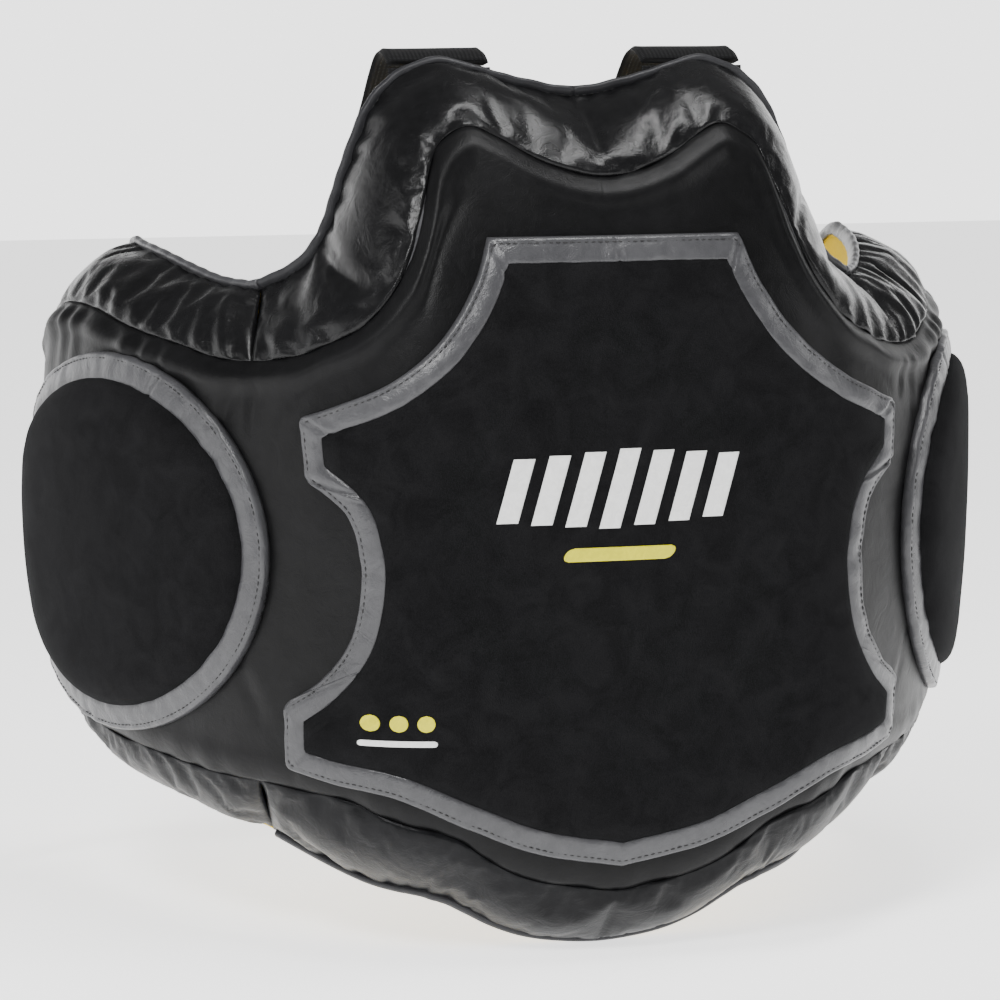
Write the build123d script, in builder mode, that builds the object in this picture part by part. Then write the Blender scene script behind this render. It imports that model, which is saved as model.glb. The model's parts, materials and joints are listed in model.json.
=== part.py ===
"""Padded chest protector: a wrap-round foam body with two hinged wings and a buckled webbing harness.

Frame: +X to the wearer's left, front facing -Y, +Z up, origin in the middle of the torso space.
"""
import os
from math import asin, cos, degrees, radians, sin, sqrt

from build123d import *

os.makedirs("parts", exist_ok=True)

# ---------------------------------------------------------------- driving dimensions (mm, degrees)
FRONT_Y = -190.0                       # foremost line of the outer skin
ARC_RADII = (750.0, 100.0, 400.0, 150.0)   # tangent arcs of the skin seen from above
ARC_ENDS = (8.0, 40.0, 80.0, 125.0)        # direction that the skin faces where each arc ends
FULLEST_Z = 44.0                       # height where the skin stands furthest out
LEAN_ABOVE = 1.42e-3                   # skin falls back by this times height squared
LEAN_BELOW = 0.30e-3
WALL = 44.0                            # body thickness, skin to lining
SKIN = 2.0                             # leather and lining thickness
GAP = 0.3                              # clearance between sewn layers
PAD_GAP = 0.9                          # clearance under the targets, on curved skin
REAR_SEAM = 3.7                        # from the rear face to the rear edge of the chest gussets
CORE_SPLIT = 23.0                      # depth where impact foam gives way to comfort foam
CHEST_REAR_Y = -70.0                   # flat rear plane of the thick upper chest
CHEST_REAR_Z = 150.0                   # the plane runs in towards the wall below this height
CHEST_REAR_SLOPE = 0.62
CHEST_FLAT_X = 159.0                   # half width of the flat rear plane
FOLD_TURN = 48.0                       # direction the skin faces at the fold between chest and wing
FOLD_GAP = 0.6                         # half gap at the fold
WING_END_TURN = 120.0                  # direction the skin faces at the rear end of a wing
PIPING = 6.0                           # height of the edge piping
PIPING_WIDTH = 7.0
SLOPE_STEP = 4.0                       # distance over which an edge's slope is measured
STEEPEST = 2.5                         # most that a steep edge stretches the piping's height
BINDING = 15.0                         # width of the leather border round a target
CENTRE_RISE = 8.5                      # centre target, height of its border over the skin
CENTRE_PAD_RISE = 6.3
SIDE_RING_RISE = 7.0                   # side target, height of its ring over the skin
SIDE_PAD_RISE = 16.5

STRAP_X = 79.0                         # shoulder strap centre
STRAP_WIDTH = 63.0
STRAP_THICK = 4.0
STRAP_ROOT = (-64.0, 272.0)            # Y, Z of the sewn edge that the strap turns about
STRAP_ARCH = 30.0                      # radius over the shoulder
STRAP_FALL = 40.0                      # slope of the run down the back, and of the rise at the root
STRAP_PAD_RUN = 150.0                  # straight length of the wide strap below the arch
STRAP_LAP = 22.0                       # webbing sewn under the end of the wide strap
TAB_HEIGHT = 44.0                      # sewn end of the strap on the rear of the chest
TAB_BELOW_ROOT = 26.0                  # from the edge it turns about down to the tab's middle
BACK_BEND = 50.0                       # radius where the webbing turns upright
WEB_THICK = 2.0
STRAP_WEB = 38.0
BELT_WEB = 50.0
BELT_TOP = -42.0
BELT_BEND = 90.0                       # radius of the belt at the back corner
BELT_STAND_OFF = 2.5                   # from the wing's rear edge to the end of the belt
RISER_GAP = 0.2                        # between the belt and the webbing sewn behind it
STRAP_BUCKLE_Z = 18.0                  # shoulder edge of the male half's prongs
WAIST_BUCKLE_X = -18.0                 # where the prongs of the waist buckle start
SLIDER_RUN = 215.0                     # slider centre, measured down the straight run
SLIDER_LENGTH = 28.0
SLIDER_THICK = 6.5
SLIDER_BELOW = 3.0                     # part of the thickness below the webbing's middle
SLIDER_BAR_PITCH = 13.0
PRONG = 20.0                           # prong length
PRONG_THICK = 6.0
PRONG_INSET = 3.0                      # prong's middle inside the webbing's edge
SOCKET_GAP = 4.0                       # open gap between prong tips and socket mouth
FRAME_LENGTH = 22.0
SOCKET_LENGTH = 34.0
SOCKET_THICK = 12.0
SOCKET_HOLLOW = 7.2
FRAME_LAP = 12.0                       # webbing held inside the male half
SOCKET_LAP = 6.0                       # webbing held inside the female half
LAP_GAP = 0.4                          # clearance round the webbing held in a buckle
CORNER = 4.0                           # rounded corners of buckles, slider and tab

# Height of edges, each as (distance across, height). Chest distances are along X.
CHEST_SEAM_TOP = [(0, 206), (36, 214), (65, 229), (84, 236), (102, 227), (111, 212), (117, 194),
                  (124, 168), (135, 144), (154, 122), (175, 110), (188, 104), (204, 101)]
CHEST_REAR_TOP = [(0, 256), (41, 264), (63, 273), (81, 277), (100, 271), (114, 262), (126, 245),
                  (136, 218), (148, 180), (156, 163), (178, 144), (204, 140)]
CHEST_SEAM_LOW = [(0, -214), (44, -207), (77, -195), (93, -180), (124, -171), (152, -163),
                  (175, -154), (204, -154)]
CHEST_REAR_LOW = [(0, -255), (45, -249), (73, -240), (103, -225), (175, -218), (204, -212)]
CHEST_STATIONS = (0, 20, 41, 63, 82, 100, 112, 119, 127, 136, 148, 160, 180, 204)
BOTH_SIDES = [-x for x in reversed(CHEST_STATIONS[1:])] + list(CHEST_STATIONS)
# Wing distances are along the skin from the centre front.
WING_SEAM_TOP = [(212, 101), (268, 101), (300, 107), (349, 114), (391, 122), (430, 125), (465, 122),
                 (500, 110), (545, 80)]
WING_REAR_TOP = [(212, 140), (276, 142), (314, 142), (351, 149), (399, 156), (450, 162), (490, 160),
                 (520, 146), (545, 118)]
WING_SEAM_LOW = [(212, -154), (257, -151), (341, -143), (385, -139), (430, -128), (480, -112),
                 (545, -85)]
WING_REAR_LOW = [(212, -210), (227, -206), (276, -193), (331, -186), (395, -180), (450, -163),
                 (500, -143), (545, -118)]
WING_STATIONS = (250, 285, 320, 355, 390, 425, 460, 490, 520)
LEVELS = (0.0, 0.15, 0.35, 0.55, 0.75, 0.9, 1.0)
PAD_LEVELS = [step / 12 for step in range(13)]

# Right half of the centre target's border, from the top middle round to the bottom middle.
TARGET_HALF = [(0, 173), (78, 173), (90, 142), (108, 115), (138, 91), (180, 72), (177, 34), (158, 14),
               (151, -20), (156, -58), (190, -98), (190, -138), (134, -153), (92, -172), (52, -188),
               (0, -198)]
# Side target: ellipse seen from the side.
SIDE_CENTRE = (16.0, -17.0)
SIDE_HALF = (132.0, 114.0)
SIDE_TILT = -6.0


# ---------------------------------------------------------------- the skin seen from above
def arc_centres():
    """Centres of the tangent arcs, worked along from the centre front."""
    centres = []
    x, y, turn = 0.0, FRONT_Y, 0.0
    for radius, end in zip(ARC_RADII, ARC_ENDS):
        centre = (x - radius * sin(radians(turn)), y + radius * cos(radians(turn)))
        centres.append(centre)
        x = centre[0] + radius * sin(radians(end))
        y = centre[1] - radius * cos(radians(end))
        turn = end
    return centres


CENTRES = arc_centres()


def arc_index(turn):
    """Which arc holds the stretch of skin that faces this way."""
    for index, end in enumerate(ARC_ENDS):
        if turn <= end:
            return index
    return len(ARC_ENDS) - 1


def skin_point(turn, out=0.0):
    """Plan point of the skin that faces `turn` degrees round from the front, `out` mm proud."""
    index = arc_index(turn)
    reach = ARC_RADII[index] + out
    centre = CENTRES[index]
    return (centre[0] + reach * sin(radians(turn)), centre[1] - reach * cos(radians(turn)))


def turn_at_run(run):
    """Direction that the skin faces at this distance along it from the centre front."""
    start = 0.0
    for radius, end in zip(ARC_RADII, ARC_ENDS):
        length = radius * radians(end - start)
        if run <= length or end == ARC_ENDS[-1]:
            return start + degrees(run / radius)
        run -= length
        start = end
    return start


def turn_at_x(x):
    """Direction that the skin faces at this distance from the middle plane."""
    start = 0.0
    for radius, end, centre in zip(ARC_RADII, ARC_ENDS, CENTRES):
        turn = degrees(asin(min(1.0, (abs(x) - centre[0]) / radius)))
        if turn <= end:
            return max(turn, start)
        start = end
    return start


def lean(z):
    """How far the skin has fallen back from its fullest line at height z."""
    factor = LEAN_ABOVE if z > FULLEST_Z else LEAN_BELOW
    return factor * (z - FULLEST_Z) ** 2


def level(table, along):
    """Height from a list of (distance, height) corners, straight between them."""
    along = min(max(abs(along), table[0][0]), table[-1][0])
    for (start, low), (end, high) in zip(table, table[1:]):
        if along <= end:
            return low + (high - low) * (along - start) / (end - start)
    return table[-1][1]


# ---------------------------------------------------------------- solids from cross-sections
def joined(sections):
    """Solid that runs straight from one (plane, corners) cross-section to the next."""
    with BuildPart() as solid:
        for plane, corners in sections:
            with BuildSketch(plane):
                with BuildLine():
                    Polyline(*corners, close=True)
                make_face()
        loft(ruled=True)
    return solid.part


def chest_y(x, z, depth, from_rear=False):
    """Y of the layer surface at `depth` behind the skin, or in front of the rear face."""
    turn = radians(turn_at_x(x))
    skin_y = skin_point(turn_at_x(x))[1]
    if not from_rear:
        return skin_y + (depth + lean(z)) / cos(turn)
    flat = CHEST_REAR_Y - CHEST_REAR_SLOPE * max(0.0, CHEST_REAR_Z - z)
    wall = skin_y + (WALL + lean(z)) / cos(turn)
    behind = flat if z > CHEST_REAR_Z and abs(x) < CHEST_FLAT_X else max(flat, wall)
    return behind - depth / cos(turn)


def chest_edges(x, inset):
    """(Y, Z) of the front and rear corners of the top and bottom edges, `inset` inside them."""
    seam_top = level(CHEST_SEAM_TOP, x)
    rear_top = level(CHEST_REAR_TOP, x) - PIPING
    seam_low = level(CHEST_SEAM_LOW, x)
    rear_low = level(CHEST_REAR_LOW, x) + PIPING
    edges = []
    for front, rear, step in ((seam_top, rear_top, -inset), (seam_low, rear_low, inset)):
        edges.append([(chest_y(x, front, 0), front + step), (chest_y(x, rear, 0, True), rear + step)])
    return edges


def on_edge(edge, y):
    """Height of an edge line, front corner to rear corner, at Y."""
    (y0, z0), (y1, z1) = edge
    share = min(max((y - y0) / (y1 - y0), -0.3), 1.3)
    return z0 + (z1 - z0) * share


def chest_side(x, depth, from_rear, inset):
    """Corners up one layer surface, from the bottom edge to the top edge."""
    top, low = chest_edges(x, inset)
    end = 1 if from_rear else 0
    z_top = on_edge(top, chest_y(x, top[end][1], depth, from_rear))
    z_low = on_edge(low, chest_y(x, low[end][1], depth, from_rear))
    heights = [z_low + (z_top - z_low) * share for share in LEVELS]
    return [(chest_y(x, z, depth, from_rear), z) for z in heights]


def chest_layer(near, far, inset, far_from_rear=False, near_from_rear=False):
    """Layer of the chest between two depths, wrapping from fold to fold."""
    sections = []
    for x in BOTH_SIDES:
        front = chest_side(x, near, near_from_rear, inset)
        rear = chest_side(x, far, far_from_rear, inset)
        sections.append((Plane.YZ.offset(x), front + rear[::-1]))
    return sections


def fold_corner(out, inward):
    """Plan point on the chest's side of the fold plane."""
    turn = radians(FOLD_TURN)
    x, y = skin_point(FOLD_TURN, out)
    return (x - inward * sin(turn) - FOLD_GAP * cos(turn), y + inward * cos(turn) - FOLD_GAP * sin(turn))


def between_folds():
    """Space between the two fold planes, with half the fold gap left at each."""
    outer = fold_corner(40, 0)
    inner = fold_corner(0, 230)
    with BuildPart() as solid:
        with BuildSketch(Plane.XY.offset(-300)):
            with BuildLine():
                Polyline((outer[0], 2 * FRONT_Y), outer, inner, (-inner[0], inner[1]), (-outer[0], outer[1]),
                         (-outer[0], 2 * FRONT_Y), close=True)
            make_face()
        extrude(amount=650)
    return solid.part


def chest_solid(sections):
    """Chest layer cut off at both folds."""
    with BuildPart() as solid:
        add(joined(sections))
        add(between_folds(), mode=Mode.INTERSECT)
    return solid.part


def chest_gusset(top):
    """Leather strip that closes the top or bottom edge between cover and lining."""
    sections = []
    for x in BOTH_SIDES:
        edge = chest_edges(x, 0)[0 if top else 1]
        step = -SKIN if top else SKIN
        front = chest_y(x, edge[0][1], SKIN + PAD_GAP)
        rear = edge[1][0] - REAR_SEAM / cos(radians(turn_at_x(x)))
        outer = [(front, on_edge(edge, front)), (rear, on_edge(edge, rear))]
        inner = [(y, z + step) for y, z in reversed(outer)]
        sections.append((Plane.YZ.offset(x), outer + inner))
    return chest_solid(sections)


def edge_piping(table, low):
    """Piping that sits on the rear corner of the chest's top or bottom edge."""
    sections = []
    for x in BOTH_SIDES[1:-1]:
        beyond = level(table, abs(x) + SLOPE_STEP)
        before = level(table, max(0.0, abs(x) - SLOPE_STEP))
        slope = (beyond - before) / (2 * SLOPE_STEP)
        height = PIPING * min(sqrt(1 + slope * slope), STEEPEST)
        corner = level(table, x)
        base = corner + PIPING - GAP if low else corner - PIPING + GAP
        tip = base - height if low else base + height
        rear = chest_y(x, corner, 0, True)
        front = rear - PIPING_WIDTH
        sections.append((Plane.YZ.offset(x), [(front, base), (rear, base), (rear, tip), (front, tip)]))
    return chest_solid(sections)


# ---------------------------------------------------------------- wing layers (wearer's left, +X)
def wall_plane(run):
    """Upright plane straight through the wall: its x points outward, its y points up."""
    turn = turn_at_run(run)
    x, y = skin_point(turn)
    outward = (sin(radians(turn)), -cos(radians(turn)), 0)
    return Plane(origin=(x, y, 0), x_dir=outward, z_dir=(outward[1], -outward[0], 0))


def run_at_turn(turn):
    """Distance along the skin from the centre front to where it faces this way."""
    run = 0.0
    start = 0.0
    for radius, end in zip(ARC_RADII, ARC_ENDS):
        run += radius * radians(min(turn, end) - start)
        if turn <= end:
            break
        start = end
    return run


WING_START = run_at_turn(FOLD_TURN) + FOLD_GAP
WING_END = run_at_turn(WING_END_TURN)


def wing_edge(run, depth, inset, top):
    """Height of the wing's top or bottom edge at a depth in the wall."""
    seam = level(WING_SEAM_TOP if top else WING_SEAM_LOW, run)
    rear = level(WING_REAR_TOP if top else WING_REAR_LOW, run)
    rear += -PIPING if top else PIPING
    height = seam + (rear - seam) * max(depth, 0.0) / WALL
    return height - inset if top else height + inset


def wing_side(run, depth, inset):
    """Corners up one layer surface of the wing."""
    low = wing_edge(run, depth, inset, False)
    top = wing_edge(run, depth, inset, True)
    heights = [low + (top - low) * share for share in LEVELS]
    return [(-(depth + lean(z)), z) for z in heights]


def wing_sections(near, far, inset, start=WING_START, end=WING_END):
    """Cross-sections of a wing layer between two depths."""
    sections = []
    for run in [start] + [run for run in WING_STATIONS if start < run < end] + [end]:
        corners = wing_side(run, near, inset) + wing_side(run, far, inset)[::-1]
        sections.append((wall_plane(run), corners))
    return sections


def wing_gusset(top):
    """Leather strip along the top or bottom edge of a wing."""
    runs = [WING_START] + list(WING_STATIONS) + [WING_END - SKIN - GAP]
    near, far = SKIN + GAP, WALL - SKIN - GAP
    sections = []
    for run in runs:
        corners = []
        for depth, inset in ((near, 0), (far, 0), (far, SKIN), (near, SKIN)):
            z = wing_edge(run, depth, inset, top)
            corners.append((-(depth + lean(z)), z))
        sections.append((wall_plane(run), corners))
    return joined(sections)


def wing_piping():
    """Piping on the inner corner of the wing's top edge, along the armhole."""
    runs = [WING_START + 1] + list(WING_STATIONS) + [WING_END - 1]
    sections = []
    for run in runs:
        base = wing_edge(run, WALL, 0, True) + GAP
        inner = -(WALL + lean(base))
        corners = [(inner, base), (inner + PIPING_WIDTH, base), (inner + PIPING_WIDTH, base + PIPING),
                   (inner, base + PIPING)]
        sections.append((wall_plane(run), corners))
    return joined(sections)


def side_target(near, far, grow, hole=None):
    """Conformal oval on the wing: grow is added to the oval's half sizes, hole cuts a smaller one."""
    low, high = -140.0, 108.0
    sections = []
    for run in [WING_START + 2] + list(WING_STATIONS):
        heights = [low + (high - low) * share for share in PAD_LEVELS]
        outer = [(far - lean(z), z) for z in heights]
        inner = [(near - lean(z), z) for z in heights]
        sections.append((wall_plane(run), inner + outer[::-1]))
    with BuildPart() as solid:
        add(joined(sections))
        with BuildSketch(Plane.YZ.offset(120)):
            with Locations(SIDE_CENTRE):
                Ellipse(SIDE_HALF[0] + grow, SIDE_HALF[1] + grow, rotation=SIDE_TILT)
        extrude(amount=260, mode=Mode.INTERSECT)
        if hole is not None:
            with BuildSketch(Plane.YZ.offset(120)):
                with Locations(SIDE_CENTRE):
                    Ellipse(SIDE_HALF[0] + hole, SIDE_HALF[1] + hole, rotation=SIDE_TILT)
            extrude(amount=260, mode=Mode.SUBTRACT)
    return solid.part


def centre_target(near, far, inset, hole=None):
    """Conformal panel on the chest inside the target outline."""
    sections = []
    for x in BOTH_SIDES:
        heights = [-205 + 390 * share for share in PAD_LEVELS]
        outer = [(chest_y(x, z, -far), z) for z in heights]
        inner = [(chest_y(x, z, -near), z) for z in heights]
        sections.append((Plane.YZ.offset(x), inner + outer[::-1]))
    border = TARGET_HALF + [(-x, z) for x, z in TARGET_HALF[-2:0:-1]]
    with BuildPart() as solid:
        add(joined(sections))
        with BuildSketch(Plane.XZ.offset(-100)):
            with BuildLine():
                Polyline(*border, close=True)
            make_face()
            if inset:
                offset(amount=-inset, kind=Kind.INTERSECTION, mode=Mode.REPLACE)
        extrude(amount=320, mode=Mode.INTERSECT)
        if hole is not None:
            with BuildSketch(Plane.XZ.offset(-100)):
                with BuildLine():
                    Polyline(*border, close=True)
                make_face()
                offset(amount=-hole, kind=Kind.INTERSECTION, mode=Mode.REPLACE)
            extrude(amount=320, mode=Mode.SUBTRACT)
    return solid.part


def mirrored(part):
    """The same piece for the wearer's other side."""
    with BuildPart() as twin:
        add(part)
        mirror(about=Plane.YZ, mode=Mode.REPLACE)
    return twin.part


# ---------------------------------------------------------------- harness
def belt_start():
    """Plan point and direction where the belt leaves the rear edge of the wing."""
    x, y = skin_point(WING_END_TURN, -WALL / 2)
    turn = radians(WING_END_TURN)
    return (x + BELT_STAND_OFF * cos(turn), y + BELT_STAND_OFF * sin(turn)), turn


BELT_ROOT, BELT_TURN = belt_start()
BELT_CENTRE = (BELT_ROOT[0] - BELT_BEND * sin(BELT_TURN), BELT_ROOT[1] + BELT_BEND * cos(BELT_TURN))
BELT_Y = BELT_CENTRE[1] + BELT_BEND
RISER_Y = BELT_Y + WEB_THICK + RISER_GAP

FALL = radians(STRAP_FALL)
ARCH_CENTRE = (STRAP_ROOT[0] + STRAP_ARCH * sin(FALL), STRAP_ROOT[1] - STRAP_ARCH * cos(FALL))
RUN_DIR = (cos(FALL), -sin(FALL))
RUN_OUT = (sin(FALL), cos(FALL))
WEB_DROP = STRAP_THICK / 2 + WEB_THICK / 2 + 0.1   # webbing's middle below the wide strap's


def run_point(distance, out=0.0):
    """(Y, Z) of a point down the straight run, `out` above the wide strap's middle."""
    reach = STRAP_ARCH + out
    return (ARCH_CENTRE[0] + reach * RUN_OUT[0] + distance * RUN_DIR[0],
            ARCH_CENTRE[1] + reach * RUN_OUT[1] + distance * RUN_DIR[1])


def arch_point(angle, out):
    """(Y, Z) on the arch over the shoulder, angle measured from upright, backward positive."""
    reach = STRAP_ARCH + out
    return (ARCH_CENTRE[0] + reach * sin(radians(angle)), ARCH_CENTRE[1] + reach * cos(radians(angle)))


BEND_Y = RISER_Y - BACK_BEND * (1 - sin(FALL))
BEND_RUN = (BEND_Y - run_point(0, -WEB_DROP)[0]) / RUN_DIR[0]
BEND_START = run_point(BEND_RUN, -WEB_DROP)
BEND_CENTRE = (BEND_START[0] - BACK_BEND * RUN_OUT[0], BEND_START[1] - BACK_BEND * RUN_OUT[1])


def bend_point(angle, out):
    """(Y, Z) where the webbing turns upright, angle measured back from upright."""
    reach = BACK_BEND + out
    return (BEND_CENTRE[0] + reach * sin(angle), BEND_CENTRE[1] + reach * cos(angle))


def wide_strap():
    """Wide shoulder strap from the sewn edge, over the arch and down the back."""
    half = STRAP_THICK / 2
    ends = []
    for out in (half, -half):
        arch = [arch_point(angle, out) for angle in (-STRAP_FALL, 0, STRAP_FALL)]
        ends.append((arch, run_point(STRAP_PAD_RUN, out)))
    (top_arch, top_end), (low_arch, low_end) = ends
    with BuildPart() as solid:
        with BuildSketch(Plane.YZ.offset(STRAP_X - STRAP_WIDTH / 2)):
            with BuildLine():
                ThreePointArc(*top_arch)
                Polyline(top_arch[-1], top_end, low_end, low_arch[-1])
                ThreePointArc(*low_arch[::-1])
                Line(low_arch[0], top_arch[0])
            make_face()
        extrude(amount=STRAP_WIDTH)
    return solid.part


def strap_webbing():
    """Narrow webbing from under the wide strap to the shoulder buckle."""
    half = WEB_THICK / 2
    start = STRAP_PAD_RUN - STRAP_LAP
    low = STRAP_BUCKLE_Z + FRAME_LENGTH - FRAME_LAP
    upright = radians(90)
    angles = (FALL, (FALL + upright) / 2, upright)
    outer = [bend_point(angle, half) for angle in angles]
    inner = [bend_point(angle, -half) for angle in angles]
    with BuildPart() as solid:
        with BuildSketch(Plane.YZ.offset(STRAP_X - STRAP_WEB / 2)):
            with BuildLine():
                ThreePointArc(*outer)
                Polyline(outer[-1], (RISER_Y + half, low), (RISER_Y - half, low), inner[-1])
                ThreePointArc(*inner[::-1])
                Polyline(inner[0], run_point(start, -half - WEB_DROP), run_point(start, half - WEB_DROP),
                         outer[0])
            make_face()
        extrude(amount=STRAP_WEB)
    return solid.part


def strap_tab():
    """End of the strap, sewn flat to the rear of the chest."""
    with BuildPart() as solid:
        with BuildSketch(Plane.XZ.offset(-CHEST_REAR_Y - GAP)):
            with Locations((STRAP_X, STRAP_ROOT[1] - TAB_BELOW_ROOT)):
                RectangleRounded(STRAP_WIDTH, TAB_HEIGHT, CORNER)
        extrude(amount=-STRAP_THICK)
    return solid.part


def slider():
    """Three-bar slider that the narrow webbing runs through."""
    middle = run_point(SLIDER_RUN, -WEB_DROP)
    normal = (0, RUN_OUT[0], RUN_OUT[1])
    plane = Plane(origin=(STRAP_X, middle[0], middle[1]), x_dir=(1, 0, 0), z_dir=normal)
    with BuildPart() as solid:
        with BuildSketch(plane.offset(-SLIDER_BELOW)):
            RectangleRounded(STRAP_WEB + 11, SLIDER_LENGTH, CORNER)
        extrude(amount=SLIDER_THICK)
        with BuildSketch(plane.offset(-WEB_THICK / 2 - GAP)):
            Rectangle(STRAP_WEB + 1, 2 * SLIDER_LENGTH)
        extrude(amount=WEB_THICK + 2 * GAP, mode=Mode.SUBTRACT)
        with BuildSketch(plane):
            with GridLocations(0, SLIDER_BAR_PITCH, 1, 2):
                SlotOverall(STRAP_WEB, 6)
        extrude(amount=SLIDER_THICK, mode=Mode.SUBTRACT)
    return solid.part


def buckle_frame(plane, webbing):
    """Male half of a side-release buckle without its prongs; y runs towards the socket."""
    width = webbing + 8
    with BuildPart() as solid:
        with BuildSketch(plane.offset(-4)):
            with Locations((0, -FRAME_LENGTH / 2)):
                RectangleRounded(width, FRAME_LENGTH, CORNER)
        extrude(amount=8)
        with BuildSketch(plane.offset(-PRONG_THICK / 2)):
            with Locations((0, (PRONG - 4) / 2 - 1)):
                Rectangle(10, PRONG - 2)
        extrude(amount=PRONG_THICK)
        with BuildSketch(plane.offset(-WEB_THICK / 2 - 0.2)):
            with Locations((0, -FRAME_LENGTH)):
                Rectangle(webbing + 2 * LAP_GAP, 2 * (FRAME_LAP + LAP_GAP))
        extrude(amount=WEB_THICK + 0.4, mode=Mode.SUBTRACT)
    return solid.part


def buckle_prong(plane, webbing, side):
    """Sprung prong of the male half; side is +1 or -1 along the plane's x."""
    root = webbing / 2 - PRONG_INSET
    corners = [(-2.5, 0.6), (-2.5, PRONG), (0.5, PRONG), (5, PRONG - 8), (2.5, PRONG - 10), (2.5, 0.6)]
    with BuildPart() as solid:
        with BuildSketch(plane.offset(-PRONG_THICK / 2)):
            with BuildLine():
                Polyline(*[(side * (root + x), y) for x, y in corners], close=True)
            make_face()
        extrude(amount=PRONG_THICK)
    return solid.part


def buckle_socket(plane, webbing):
    """Female half: a hollow shell with side windows for the prongs."""
    width = webbing + 10
    mouth = PRONG + SOCKET_GAP
    with BuildPart() as solid:
        with BuildSketch(plane.offset(-SOCKET_THICK / 2)):
            with Locations((0, mouth + SOCKET_LENGTH / 2)):
                RectangleRounded(width, SOCKET_LENGTH, CORNER)
        extrude(amount=SOCKET_THICK)
        with BuildSketch(plane.offset(-SOCKET_HOLLOW / 2)):
            with Locations((0, mouth + 11)):
                Rectangle(width - 8, 26)
            with Locations((0, mouth + 16)):
                Rectangle(width + 4, 11)
        extrude(amount=SOCKET_HOLLOW, mode=Mode.SUBTRACT)
        with BuildSketch(plane.offset(-WEB_THICK / 2 - 0.2)):
            with Locations((0, mouth + SOCKET_LENGTH)):
                Rectangle(webbing + 2 * LAP_GAP, 2 * (SOCKET_LAP + LAP_GAP))
        extrude(amount=WEB_THICK + 0.4, mode=Mode.SUBTRACT)
    return solid.part


def belt_point(turn, out):
    """Plan point on the belt's bend at the back corner."""
    reach = BELT_BEND + out
    return (BELT_CENTRE[0] + reach * sin(turn), BELT_CENTRE[1] - reach * cos(turn))


def belt_webbing(end_x):
    """Half of the waist belt, from the wing's rear edge round to the middle of the back."""
    half = WEB_THICK / 2
    backward = radians(180)
    turns = (BELT_TURN, (BELT_TURN + backward) / 2, backward)
    outer = [belt_point(turn, half) for turn in turns]
    inner = [belt_point(turn, -half) for turn in turns]
    with BuildPart() as solid:
        with BuildSketch(Plane.XY.offset(BELT_TOP - BELT_WEB)):
            with BuildLine():
                ThreePointArc(*outer)
                Polyline(outer[-1], (end_x, BELT_Y + half), (end_x, BELT_Y - half), inner[-1])
                ThreePointArc(*inner[::-1])
                Line(inner[0], outer[0])
            make_face()
        extrude(amount=BELT_WEB)
    return solid.part


def belt_riser():
    """Short webbing sewn behind the belt that carries the shoulder buckle's socket."""
    top = STRAP_BUCKLE_Z - PRONG - SOCKET_GAP - SOCKET_LENGTH + SOCKET_LAP
    low = BELT_TOP - BELT_WEB + 5
    with BuildPart() as solid:
        with BuildSketch(Plane.XZ.offset(-BELT_Y - WEB_THICK / 2 - RISER_GAP)):
            with Locations((STRAP_X, (top + low) / 2)):
                Rectangle(STRAP_WEB, top - low)
        extrude(amount=-WEB_THICK)
    return solid.part


SHOULDER_BUCKLE = Plane(origin=(STRAP_X, RISER_Y, STRAP_BUCKLE_Z), x_dir=(1, 0, 0), z_dir=(0, 1, 0))
WAIST_BUCKLE = Plane(origin=(WAIST_BUCKLE_X, BELT_Y, BELT_TOP - BELT_WEB / 2), x_dir=(0, 0, 1),
                     z_dir=(0, 1, 0))

# ---------------------------------------------------------------- pieces
IN = SKIN + GAP
EDGE = IN + 1.0                        # foam kept clear of the edge gussets
REAR_IN = IN + 2.2                     # foam kept clear of the chest's rear face
pieces = {
    "front_cover": chest_solid(chest_layer(0, SKIN, 0)),
    "front_lining": chest_solid(chest_layer(SKIN, 0, 0, far_from_rear=True, near_from_rear=True)),
    "front_impact_foam": chest_solid(chest_layer(IN, CORE_SPLIT, EDGE)),
    "front_comfort_foam": chest_solid(chest_layer(CORE_SPLIT + GAP, REAR_IN, EDGE, far_from_rear=True)),
    "yoke_gusset": chest_gusset(True),
    "belly_gusset": chest_gusset(False),
    "neck_piping": edge_piping(CHEST_REAR_TOP, False),
    "hem_piping": edge_piping(CHEST_REAR_LOW, True),
    "centre_target_foam": centre_target(PAD_GAP, CENTRE_PAD_RISE - SKIN, BINDING + GAP),
    "centre_target_face": centre_target(CENTRE_PAD_RISE - SKIN + GAP, CENTRE_PAD_RISE, BINDING + GAP),
    "centre_target_binding": centre_target(PAD_GAP, CENTRE_RISE, 0, hole=BINDING),
    "waist_buckle_frame": buckle_frame(WAIST_BUCKLE, BELT_WEB),
    "waist_buckle_upper_prong": buckle_prong(WAIST_BUCKLE, BELT_WEB, 1),
    "waist_buckle_lower_prong": buckle_prong(WAIST_BUCKLE, BELT_WEB, -1),
    "waist_buckle_socket": buckle_socket(WAIST_BUCKLE, BELT_WEB),
}
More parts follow.
